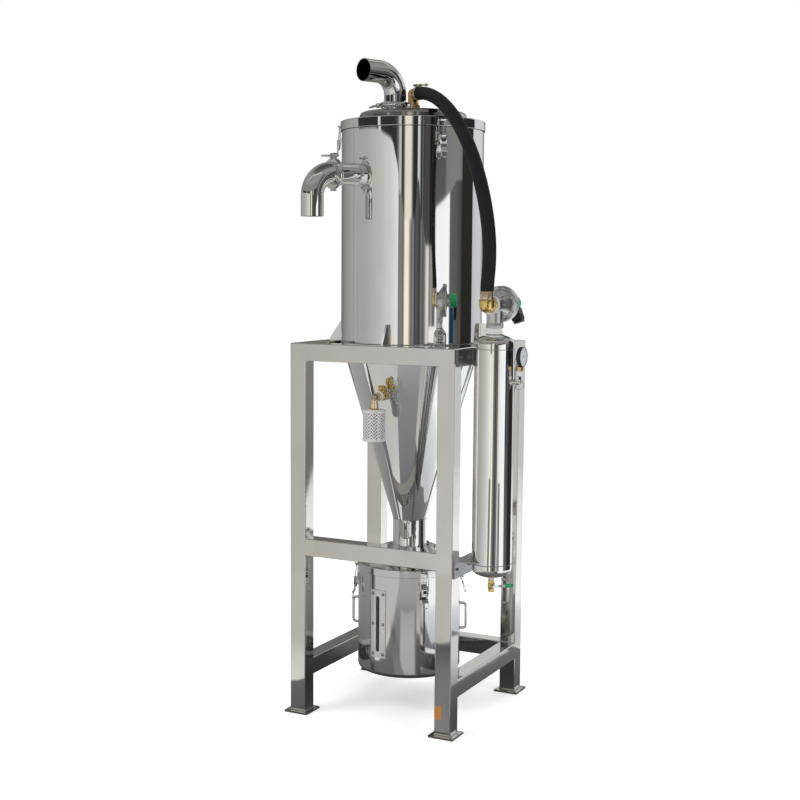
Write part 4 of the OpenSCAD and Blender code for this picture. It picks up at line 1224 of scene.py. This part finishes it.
drainLow, drainHigh = inMm(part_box("drain_valve"))
drainSet = {"direction": 45, "hexR": 12, "hexLong": 11, "stem": [(8, 6), (8, 14), (5.5, 15), (5.5, 17)],
            "arm": [(19, 0, 0), (19, 22, 0), (22, 32, 0), (22, 42, 0)], "armThick": 2.4, "armWide": 9,
            "gripAt": (20.5, 54, 0),
            # the grip's rings: place along it, half height and half thickness
            "grip": [(-17, 4.5, 3), (-14, 6.5, 3.6), (0, 7, 4), (12, 6.4, 3.6), (15.5, 4, 2.4)]}


def makeDrain():
    centre = tankAxis @ shift(z=joints["drain_lever_turn"]["pos_m"][2] / mm)
    stem = centre @ turned(drainSet["direction"] - 90, "Z")
    bottom, top = drainLow.z - centre.translation.z, drainHigh.z - centre.translation.z
    hexR, hexLong = drainSet["hexR"], drainSet["hexLong"]
    bm = bmesh.new()
    solid(bm, [(9.5, bottom + 9), (hexR, -7), (hexR, 7), (9.5, 10)], centre, 36)
    for z in (bottom, 7):
        hexBody(bm, centre @ shift(z=z), hexR, hexLong)
    solid(bm, drainSet["stem"], stem @ turned(90, "Y"), 32)
    rod(bm, (15, 0, 0), (24, 0, 0), 3.5, 16, stem)
    finishPiece("drainBody", bm, "brass", ("drain_valve",), smooth=40)
    solidPiece("drainTape", "white_plastic", [(9.5, 17), (10.5, 20), (10.5, top)], centre, 32)
    bm = bmesh.new()
    hexBody(bm, stem @ shift(22.4) @ turned(90, "Y"), 5.5, 4)
    rod(bm, (18, 0, 0), (22, 0, 0), 7, 24, stem)
    arm = [(point.x, point.y) for point in rounded(drainSet["arm"], 6, 4)]
    strip(bm, arm, drainSet["armThick"], drainSet["armWide"], stem @ turned(-90, "X"))
    finishPiece("drainArm", bm, "latch_steel", body="drain_lever", bevel=0.5)
    bm = bmesh.new()
    grip = stem @ shift(*drainSet["gripAt"])
    capped(bm, [[vert(bm, grip, thick * x, y, tall * z) for x, z in polygon(16, 1)]
                for y, tall, thick in drainSet["grip"]])
    finishPiece("drainGrip", bm, "green_plastic", ("drain_lever",), "drain_lever", smooth=60)


makeDrain()
print("drain made")


# Cone fitting: tape, brass body with its adjusting stub, copper elbow and the perforated silencer

silencerLow, silencerHigh = inMm(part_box("silencer"))
fittingZ = inMm(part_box("cone_elbow"))[1].z - 12.5
silencerAt = (silencerLow + silencerHigh) / 2
silencerR = (silencerHigh.x - silencerLow.x) / 2
silencerOut = silencerAt.xy.length

# the brass body's parts are placed from the first tape outwards, the stub's from the body's axis up
coneSet = {"direction": 2, "length": 90, "bodyHex": (8, 19, 14), "tapeHex": (37, 18.5, 13), "stubAt": 31,
           "body": [(15, 20), (17.5, 25), (17.5, 36), (15, 40)], "stub": [(12.5, 0), (12.5, 17), (10, 19)],
           "stubHex": (17, 14, 9), "cap": [(0, 25), (13, 25), (13, 31), (11, 34), (5, 35.5), (0, 36)],
           "tapes": ((0, 9, 16), (50, 60, 16.5))}
elbowSet = {"socket": 14, "pipe": 12.2, "bend": 15, "inset": 32, "socketLong": 10, "rise": 24, "nut": 17}
silencerSet = {"columns": 26, "rows": 8, "hole": 2.3, "ring": 8, "shell": 1.2, "inset": 1.6, "points": 12,
               "stagger": 0.1, "core": 2, "neck": 15}


def makeConeFitting():
    start = silencerOut - coneSet["length"]
    line = facing(coneSet["direction"], start, fittingZ) @ turned(90, "Y")
    upright = facing(coneSet["direction"], start + coneSet["stubAt"], fittingZ)
    bm = bmesh.new()
    solid(bm, coneSet["body"], line, 36)
    solid(bm, coneSet["stub"], upright, 30)
    for where, (z, radius, height) in ((line, coneSet["bodyHex"]), (line, coneSet["tapeHex"]),
                                       (upright, coneSet["stubHex"])):
        hexBody(bm, where @ shift(z=z), radius, height)
    lathe(bm, coneSet["cap"], upright, 28, closed=False)
    finishPiece("coneBrass", bm, "brass", ("cone_fitting",), smooth=40)
    bm = bmesh.new()
    for low, high, radius in coneSet["tapes"]:
        solid(bm, [(radius - 1, low), (radius, low + 2), (radius - 0.6, low + 5), (radius + 0.3, high - 2),
                   (radius - 1.5, high)], line, 36)
    finishPiece("coneTape", bm, "white_plastic", smooth=50)


def makeCopperElbow():
    bm = bmesh.new()
    down = facing(coneSet["direction"], silencerOut, silencerHigh.z)
    rise, inset, socket = fittingZ - silencerHigh.z, elbowSet["inset"], elbowSet["socket"]
    bentRod(bm, [(-inset, 0, rise), (0, 0, rise), (0, 0, -1)], elbowSet["bend"], elbowSet["pipe"], 28,
            down, 8)
    across = down @ shift(-inset, 0, rise) @ turned(90, "Y")
    for where, long in ((across, elbowSet["socketLong"]), (down, elbowSet["rise"])):
        solid(bm, [(socket, 0), (socket, long - 1), (socket - 1.5, long)], where, 36)
    finishPiece("copperElbow", bm, "copper", ("cone_elbow",), smooth=40)
    bm = bmesh.new()
    hexBody(bm, down, elbowSet["nut"], 6)
    finishPiece("silencerNut", bm, "brass")


def makeSilencer():
    # a shell of round holes in a staggered grid over a near-black core that paints the shade inside the holes,
    # between two end rings
    place = shift(silencerAt.x, silencerAt.y, 0)
    low, high = silencerLow.z + silencerSet["ring"], silencerHigh.z - silencerSet["ring"]
    radius, hole, core = silencerR - silencerSet["inset"], silencerSet["hole"], silencerSet["core"]
    columns, rows = silencerSet["columns"], silencerSet["rows"]
    pitch, wide = (high - low) / rows, math.tau / columns
    bm = bmesh.new()
    for column in range(columns):
        mid = wide * (column + 0.5)
        raised = silencerSet["stagger"] * pitch * (1 if column % 2 else -1)
        for row in range(rows):
            z = low + pitch * (row + 0.5)
            rings = [[], [], []]
            for x, y in polygon(silencerSet["points"], 1):
                push = 0.5 / max(abs(x), abs(y))
                around, up = mid + hole / radius * x, z + raised + hole * y
                for ring, out, turn, height in (
                        (rings[0], radius, mid + wide * x * push, z + pitch * y * push),
                        (rings[1], radius, around, up),
                        (rings[2], radius - silencerSet["shell"], around, up)):
                    ring.append(vert(bm, place, out * math.cos(turn), out * math.sin(turn), height))
            skin(bm, rings)
    finishPiece("silencerShell", bm, "silencer_steel", ("silencer",), smooth=30)
    # the inner core's near-black finish is painted shade seen through the holes
    profile = [(radius - core, low - core), (radius - core, high + core)]
    solidPiece("silencerCore", "silencer_steel", profile, place, 48, finish="mesh")
    bm = bmesh.new()
    for bottom, top in ((silencerLow.z, low + 1), (high - 1, silencerHigh.z)):
        solid(bm, [(silencerR - 1, bottom), (silencerR, bottom + 1), (silencerR, top - 1.4),
                   (silencerR - 1.2, top)], place, 72)
    neck = silencerSet["neck"]
    solid(bm, [(neck, silencerHigh.z - 1), (neck, silencerHigh.z + 2)], place, 32)
    finishPiece("silencerRings", bm, "silencer_steel", smooth=50)


makeConeFitting()
makeCopperElbow()
makeSilencer()
print("cone fitting made")


# Drum: banded lid, sight plate with screws, bent-rod handles welded at their ends

drumLidLow, drumLidHigh = inMm(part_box("drum_lid"))
drumR = inMm(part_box("drum_shell"))[1].x
drumZ = inMm(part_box("drum_bottom"))[0].z
plateLow, plateHigh = inMm(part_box("sight_plate"))
drumSet = {"direction": -9.5, "out": 4, "edge": 2.2, "screw": 4.6, "screwIn": 10, "wide": 62,
           "screwUp": (0.055, 0.5, 0.945), "washer": 1.4, "handleOut": 23, "rod": 4.8, "bend": 13,
           "handles": (-75, 105), "seam": 178, "plateEase": 0.8}


def makeDrumLid():
    bm = bmesh.new()
    radius = drumR + drumSet["out"]
    low, high = drumLidLow.z, drumLidHigh.z
    outline = easedBand(radius, low, high, drumSet["edge"], drumR + 0.4)
    outline[-1] = (neckR - 3, high)
    outline += [(neckR - 3, high - 3), (drumR + 0.4, high - 3)]
    lathe(bm, outline, steps=144)
    keepers(bm, "drum", radius)
    finishPiece("drumLid", bm, "drum_steel", ("drum_lid",), smooth=50)
    bm = bmesh.new()
    bead(bm, shift(z=high + 0.4), neckR + 0.3, 1.6, 160, 0.3)
    bead(bm, shift(z=drumZ + 16), drumR + 0.05, 0.5, 240, 0.2)
    rod(bm, (0, 0, drumZ + 20), (0, 0, low), 0.8, 8, facing(drumSet["seam"], drumR - 0.1))
    finishPiece("drumWelds", bm, "drum_steel", finish="weld")


def makeSightScrews():
    bm = bmesh.new()
    swing = math.degrees((drumSet["wide"] / 2 - drumSet["screwIn"]) / drumR)
    height = plateHigh.z - plateLow.z
    washer = drumSet["washer"] * drumSet["screw"]
    for side in (-1, 1):
        for share in drumSet["screwUp"]:
            place = facing(drumSet["direction"] + side * swing, drumR + 3.8, plateLow.z + share * height)
            place = place @ turned(90, "Y")
            solid(bm, [(washer, 0), (washer, 0.5)], place, 24)
            panHead(bm, place @ shift(z=0.5), drumSet["screw"])
    finishPiece("sightScrews", bm, "latch_steel", smooth=40, finish="screw")


def makeHandles():
    bm = bmesh.new()
    low, high = inMm(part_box("drum_handles"))
    thick, out = drumSet["rod"], drumSet["handleOut"]
    bottom, top = low.z + thick, high.z - thick
    for direction in drumSet["handles"]:
        where = facing(direction, drumR)
        points = [(-1, 0, bottom), (out, 0, bottom), (out, 0, top), (-1, 0, top)]
        bentRod(bm, points, drumSet["bend"], thick, 18, where, 7)
        for z in (bottom, top):
            bead(bm, where @ shift(0.3, 0, z) @ turned(90, "Y"), thick + 0.6, 1.3, 36, 0.25)
    finishPiece("drumHandles", bm, "latch_steel", ("drum_handles",), smooth=50)


makeDrumLid()
makeSightScrews()
makeHandles()
easeEdges(frame["nodes"]["sight_plate"], drumSet["plateEase"])
print("drum made")


# Studio: a room that only reflections see, a white floor with the object's shadow, a white background

studioSet = {
    "wallRadius": 6.0,
    "wallTop": 5.0,
    "worldLight": 0.62,
    "floorLight": 0.5,
    "tint": (1.0, 0.985, 0.95),
    "soft": 0.015,
    "rampStops": 24,
    # azimuth from the front towards the tank, brightness below and above the skyline, the skyline's height
    # and how warm the light is there
    "bands": [
        (-180, 0.30, 0.22, 2.72, 0.01), (-163, 0.24, 0.22, 2.72, 0.01), (-161, 0.62, 0.22, 2.72, 0.01),
        (-156, 0.62, 0.22, 2.72, 0.01), (-155.3, 0.15, 0.22, 2.72, 0.01), (-126, 0.19, 0.22, 2.72, 0.01),
        (-106, 0.31, 0.22, 2.72, 0.01), (-92, 0.37, 0.20, 2.72, 0.01), (-82, 0.42, 0.14, 2.72, 0.02),
        (-81, 0.24, 0.08, 2.72, 0.02), (-79.5, 0.42, 0.08, 2.72, 0.02), (-68, 0.42, 0.08, 2.72, 0.02),
        (-67.5, 0.42, 0.035, 2.585, 0.02), (-50, 0.43, 0.03, 2.585, 0.02), (-36, 0.51, 0.03, 2.583, 0.02),
        (-29, 0.54, 0.03, 2.57, 0.02), (-28, 0.55, 0.80, 2.568, 0.015), (-25.5, 0.56, 0.80, 2.56, 0.015),
        (-24.5, 0.57, 0.035, 2.555, 0.01), (-8, 0.70, 0.03, 2.503, 0.01), (-3.5, 0.76, 0.03, 2.457, 0.01),
        (-1, 0.80, 0.04, 2.39, 0.01), (2, 0.84, 0.06, 2.33, 0.01), (4.6, 0.86, 0.20, 2.24, 0.01),
        (5.2, 0.17, 0.30, 2.1, 0.0), (6.2, 0.20, 0.60, 2.1, 0.0), (8.8, 0.26, 0.60, 2.1, 0.01),
        (9.6, 0.26, 0.05, 2.1, 0.03), (13.6, 0.12, 0.05, 1.9, 0.05), (15.0, 1.00, 0.82, 1.9, 0.07),
        (21.0, 0.95, 0.86, 1.9, 0.08), (22.5, 0.45, 0.84, 1.9, 0.08), (24.5, 0.17, 0.80, 1.9, 0.07),
        (26.0, 0.15, 0.20, 1.9, 0.04), (28.0, 0.28, 0.03, 1.9, -0.03), (30.5, 0.06, 0.03, 1.9, -0.03),
        (34.2, 0.12, 0.03, 2.2, -0.02), (35.0, 0.10, 0.80, 2.2, -0.01), (37.5, 0.05, 0.70, 2.2, -0.01),
        (38.5, 0.04, 0.03, 1.9, 0.0), (41.0, 0.24, 0.04, 1.9, 0.02), (42.0, 0.16, 0.17, 1.9, 0.0),
        (43.5, 0.09, 0.06, 1.9, -0.02), (47.0, 0.26, 0.07, 1.7, -0.02), (49.5, 0.85, 0.075, 1.7, 0.05),
        (52.0, 0.75, 0.07, 1.7, 0.05), (53.5, 0.24, 0.05, 1.7, 0.02), (55.0, 0.27, 0.01, 1.7, 0.02),
        (57.5, 0.34, 0.01, 1.7, 0.03), (60.0, 0.12, 0.02, 1.8, 0.02), (62.8, 0.14, 0.10, 1.98, -0.02),
        (63.8, 1.05, 0.11, 1.99, -0.02), (75.0, 1.05, 0.11, 2.04, -0.02), (79.5, 1.06, 0.11, 2.06, -0.02),
        (81.0, 1.07, 0.21, 2.07, 0.0), (87.0, 1.10, 0.23, 2.1, 0.0), (88.0, 0.13, 0.23, 2.1, 0.02),
        (101, 0.11, 0.24, 2.2, 0.03), (109, 0.07, 0.22, 2.2, 0.03), (114, 0.03, 0.10, 2.2, -0.02),
        (117, 0.02, 0.02, 2.2, -0.03), (130, 0.03, 0.02, 2.2, -0.02), (132, 0.30, 0.02, 2.2, 0.0),
        (134, 0.48, 0.50, 2.2, -0.01), (139, 0.58, 0.70, 2.2, -0.015), (151, 0.66, 0.74, 2.2, -0.015),
        (168, 0.66, 0.72, 2.2, -0.01), (180, 0.50, 0.56, 2.4, 0.0),
    ],
    # things along the wall: azimuth from and to, lower and upper edge, colour
    "panels": [
        (89, 96, 0.25, 1.34, (0.008, 0.045, 0.095)),
        (104, 110, 0.25, 1.20, (0.10, 0.09, 0.08)),
        (66, 69, 1.0, 1.3, (0.35, 0.33, 0.30)),
        (-70, -69, 0.0, 1.5, (0.33, 0.32, 0.30)),
        (58, 61, 2.05, 2.42, (0.17, 0.045, 0.015)),
        (53.5, 63.6, 0.0, 1.1, (1.0, 0.985, 0.95)),
        (4.8, 13.5, 0.0, 0.92, (0.95, 0.93, 0.88)),
        (-130, 70, 3.05, 4.9, (0.26, 0.25, 0.235)),
    ],
    "farFloor": (2.6, 6.0, 0.0004),  # from, to and height of the floor that goes on with the wall's bands
    # parts of the floor: corners, height above it, then distance from the axis, brightness and warmth
    "floorParts": {
        "roomFloor": (
            [(-6, -6), (6, -6), (6, 6), (-6, 6)], 0.0002,
            [(0.0, 1.00, 0.02), (1.0, 0.74, 0.02), (1.35, 0.58, 0.02), (2.6, 0.56, 0.02),
             (6.0, 0.50, 0.02)]),
        "roomFloorLeft": (
            [(-0.55, -0.25), (-5.6, -3.0), (-6, 6), (-1.2, 6), (-0.6, 0.8)], 0.0006,
            [(0.0, 0.20, 0.0), (1.2, 0.22, 0.0), (1.7, 0.28, 0.0), (3.4, 0.36, 0.0), (6.0, 0.40, 0.01)]),
        # a dark mat on the floor; its stops within about half a metre of the axis are darker still, a painted
        # shadow of the object as reflections see it
        "roomMatAndShadow": (
            [(-0.473, -0.631), (-0.35, -0.96), (-0.10, -1.60), (0.26, -2.32), (0.35, -2.6), (2.2, -1.5),
             (2.2, -1.2), (0.95, 1.0), (0.50, 0.80), (-0.6, 0.9), (-1.6, 0.5)], 0.0008,
            [(0.0, 0.03, 0.0), (0.33, 0.05, 0.0), (0.5, 0.13, 0.01), (0.9, 0.17, 0.0), (1.1, 0.21, -0.02),
             (1.25, 0.23, -0.02), (1.6, 0.27, -0.02), (1.85, 0.38, 0.0), (2.6, 0.44, 0.0)]),
        "roomPaper": (
            [(0.45, 0.82), (1.0, 0.95), (1.12, 0.0), (1.02, -0.30), (1.28, -0.78), (2.1, -1.35), (2.5, 0.2),
             (1.9, 1.7), (5.2, 4.8), (-0.3, 6), (-0.9, 1.1)], 0.0010,
            [(0.0, 0.70, -0.02), (1.2, 0.62, -0.03), (1.6, 0.80, -0.02), (1.75, 1.08, -0.01),
             (3.6, 1.0, -0.015), (6.0, 0.72, -0.02)]),
        "roomCeiling": (
            [(-6, -6), (6, -6), (6, 6), (-6, 6)], 5.0,
            [(0.0, 0.08, 0.02), (1.4, 0.11, 0.02), (2.4, 0.28, 0.02), (6.0, 0.34, 0.02)]),
        "roomCable": (
            [(0.75, -0.62), (0.95, -0.55), (1.42, -0.82), (2.2, -1.4), (2.0, -1.75), (1.24, -1.16)], 0.0012,
            [(0.0, 0.07, 0.04), (1.4, 0.08, 0.04), (2.6, 0.1, 0.04)]),
    },
    # sheen on the floor near the object, which only rays that come in low see
    "glareParts": {
        "roomGlareFront": (
            [(0.09, -0.62), (0.24, -1.62), (1.02, -1.32), (0.40, -0.50)], 0.0014,
            [(0.5, 0.42, 0.0), (1.1, 0.50, 0.0), (1.6, 0.42, 0.0)]),
        "roomGlareRight": (
            [(0.55, -0.1), (0.54, 0.75), (0.80, 0.95), (1.0, 0.2)], 0.0014,
            [(0.55, 0.34, 0.0), (0.7, 0.50, 0.0), (0.8, 0.62, 0.0), (0.93, 0.72, 0.0)]),
        "roomGlareMid": (
            [(0.12, -0.36), (0.32, -0.36), (-0.08, -1.33), (-0.28, -1.33)], 0.0016,
            [(0.45, 0.25, 0.0), (0.94, 0.21, 0.0), (1.18, 0.15, 0.0), (1.3, 0.11, 0.0)]),
    },
    # a dark cabinet: two corners on the floor, bottom and top
    "cabinet": ((2.08, 0.72), (1.02, 0.90), 0.2, 2.3, 0.025),
    # ceiling lamps: centre x and y, length, width, turn, brightness
    "tubes": [(-1.6, -2.4, 2.6, 0.22, 20, 1.0), (1.2, -2.0, 2.6, 0.22, 20, 1.0),
              (0.6, 2.4, 3.0, 0.3, 20, 0.9)],
}


def stagePiece(name, bm):
    # a piece of the studio with a material of its own
    piece = addObject(name, meshOf(name, bm))
    material, tree = nodeMaterial(name)
    material.cycles.emission_sampling = "NONE"
    piece.data.materials.append(material)
    return piece, tree


def glowPiece(name, bm, level=1.0):
    # only reflections see it
    piece, tree = stagePiece(name, bm)
    piece.visible_camera = False
    piece.visible_diffuse = False
    piece.visible_shadow = False
    piece.visible_transmission = False
    tree.nodes.remove(tree.nodes["Principled BSDF"])
    tint = [level * share for share in studioSet["tint"]]
    glow = addNode(tree, "ShaderNodeEmission", Color=(*tint, 1))
    tree.links.new(glow.outputs[0], tree.nodes["Material Output"].inputs["Surface"])
    return tree, glow


def rampOf(tree, source, stops):
    # stops are (position, level, warmth); a colour ramp holds few, so a long list is cut into parts
    color = None
    for first in range(0, len(stops) - 1, studioSet["rampStops"]):
        part = stops[first:first + studioSet["rampStops"] + 1]
        ramp = addNode(tree, "ShaderNodeValToRGB", [(source, "Fac")])
        made = ramp.color_ramp.elements
        while len(made) < len(part):
            made.new(0.5)
        for stop, (position, level, warmth) in zip(made, part):
            stop.position = position
            stop.color = (level * (1 + warmth), level, level * (1 - 2 * warmth), 1)
        if color:
            beyond = compute(tree, "GREATER_THAN", source, part[0][0])
            color = mixed(tree, beyond, color, ramp.outputs["Color"])
        else:
            color = ramp.outputs["Color"]
    return color


def wallBands(tree, parts):
    # brightness below and above the skyline and the skyline's height, by azimuth
    front = compute(tree, "MULTIPLY", parts["Y"], -1)
    share = spread(tree, compute(tree, "ARCTAN2", parts["X"], front), -math.pi, math.pi)
    below, above, skyline = [], [], []
    for azimuth, low, high, edge, warmth in studioSet["bands"]:
        place = (azimuth + 180) / 360
        below.append((place, low, warmth))
        above.append((place, high, warmth))
        skyline.append((place, edge / studioSet["wallTop"], 0))
    return [rampOf(tree, share, stops) for stops in (below, above, skyline)]


def roundWall(name, profile, steps=180, start=0, turn=360):
    bm = bmesh.new()
    lathe(bm, profile, steps=steps, closed=False, start=start, turn=turn)
    tree, glow = glowPiece(name, bm)
    return tree, glow, addNode(tree, "ShaderNodeSeparateXYZ", [(objectCoords(tree), 0)]).outputs


def makeWall():
    radius, top, soft = studioSet["wallRadius"], studioSet["wallTop"], studioSet["soft"]
    tree, glow, parts = roundWall("studioWall", [(radius, -0.02), (radius, top)])
    below, above, skyline = wallBands(tree, parts)
    over = compute(tree, "SUBTRACT", spread(tree, parts["Z"], 0, top), skyline)
    edge = spread(tree, over, -soft / top, soft / top)
    tree.links.new(mixed(tree, edge, below, above), glow.inputs["Color"])
    inner, outer, height = studioSet["farFloor"]
    tree, glow, parts = roundWall("studioFarFloor", [(inner, height), (outer, height)])
    tree.links.new(wallBands(tree, parts)[0], glow.inputs["Color"])


def makePanels():
    radius = studioSet["wallRadius"] - 0.1
    for index, (start, end, low, high, color) in enumerate(studioSet["panels"]):
        profile = [(radius, low), (radius, high)]
        glow = roundWall("roomPanel%d" % index, profile, 12, start - 90, end - start)[1]
        glow.inputs["Color"].default_value = (*color, 1)
    (x1, y1), (x2, y2), low, high, level = studioSet["cabinet"]
    makeCard("roomCabinet", [(x1, y1, low), (x2, y2, low), (x2, y2, high), (x1, y1, high)], level)


def makeCard(name, corners, level=1.0):
    bm = bmesh.new()
    bm.faces.new([bm.verts.new(corner) for corner in corners])
    return glowPiece(name, bm, level)


def seenLow(tree, glow):
    # clear for rays from above
    weight = addNode(tree, "ShaderNodeLayerWeight", Blend=0.5)
    low = spread(tree, weight.outputs["Facing"], 0.45, 0.6)
    clear = addNode(tree, "ShaderNodeBsdfTransparent")
    mix = addNode(tree, "ShaderNodeMixShader", [(low, 0), (clear.outputs[0], 1), (glow.outputs[0], 2)])
    tree.links.new(mix.outputs[0], tree.nodes["Material Output"].inputs["Surface"])


def makeRoom():
    radius = studioSet["wallRadius"]
    glare = studioSet["glareParts"]
    for name, (corners, z, rings) in {**studioSet["floorParts"], **glare}.items():
        tree, glow = makeCard(name, [(x, y, z) for x, y in corners])
        flat = scaled(tree, objectCoords(tree), (1, 1, 0))
        length = addNode(tree, "ShaderNodeVectorMath", [(flat, 0)], operation="LENGTH")
        stops = [(distance / radius, level, warmth) for distance, level, warmth in rings]
        away = spread(tree, length.outputs["Value"], 0, radius)
        tree.links.new(rampOf(tree, away, stops), glow.inputs["Color"])
        if name in glare:
            seenLow(tree, glow)
    for index, (x, y, long, wide, turn, level) in enumerate(studioSet["tubes"]):
        place = shift(x, y, studioSet["wallTop"] - 0.05) @ turned(turn, "Z")
        corners = [place @ Vector((a * long / 2, b * wide / 2, 0)) for a, b in
                   ((-1, -1), (1, -1), (1, 1), (-1, 1))]
        makeCard("roomTube%d" % index, corners, level)


def seenDirectly(tree):
    # 1 for camera, glossy and transmission rays
    path = addNode(tree, "ShaderNodeLightPath").outputs
    seen = compute(tree, "MAXIMUM", path["Is Camera Ray"], path["Is Glossy Ray"])
    return compute(tree, "MAXIMUM", seen, path["Is Transmission Ray"])


def makeFloor():
    bm = bmesh.new()
    bmesh.ops.create_grid(bm, x_segments=1, y_segments=1, size=30)
    floor, tree = stagePiece("floor", bm)
    floor.location.z = -0.0005
    shader = tree.nodes["Principled BSDF"]
    setInputs(shader, Base_Color=(0.8, 0.8, 0.8, 1), Roughness=0.9, Specular_IOR_Level=0.0,
              Emission_Color=(1, 1, 1, 1))
    lift = compute(tree, "MULTIPLY", seenDirectly(tree), studioSet["floorLight"])
    tree.links.new(lift, shader.inputs["Emission Strength"])


def makeWorld():
    world = bpy.data.worlds.new("world")
    bpy.context.scene.world = world
    world.use_nodes = True
    tree = world.node_tree
    back = tree.nodes["Background"]
    back.inputs["Color"].default_value = (1, 1, 1, 1)
    tree.links.new(spread(tree, seenDirectly(tree), 0, 1, studioSet["worldLight"], 1.0),
                   back.inputs["Strength"])


# place, size and power; all are turned to the middle of the object
lampSet = {
    "keyLamp": ((-3.2, -3.6, 4.2), 2.4, 120),
    "sideLamp": ((4.6, -1.0, 3.2), 2.0, 50),
    "backLamp": ((0.5, 4.5, 4.0), 2.5, 60),
}


def makeLamps():
    for name, (place, size, power) in lampSet.items():
        data = bpy.data.lights.new(name, "AREA")
        data.size = size
        data.energy = power
        lamp = addObject(name, data)
        lamp.location = place
        lamp.rotation_euler = (Vector((0, 0, 1.1)) - lamp.location).to_track_quat("-Z", "Y").to_euler()
        lamp.visible_glossy = False
        lamp.visible_camera = False


makeWall()
makePanels()
makeRoom()
makeFloor()
makeWorld()
makeLamps()
bpy.context.scene.view_settings.view_transform = "Standard"
print("studio lit")
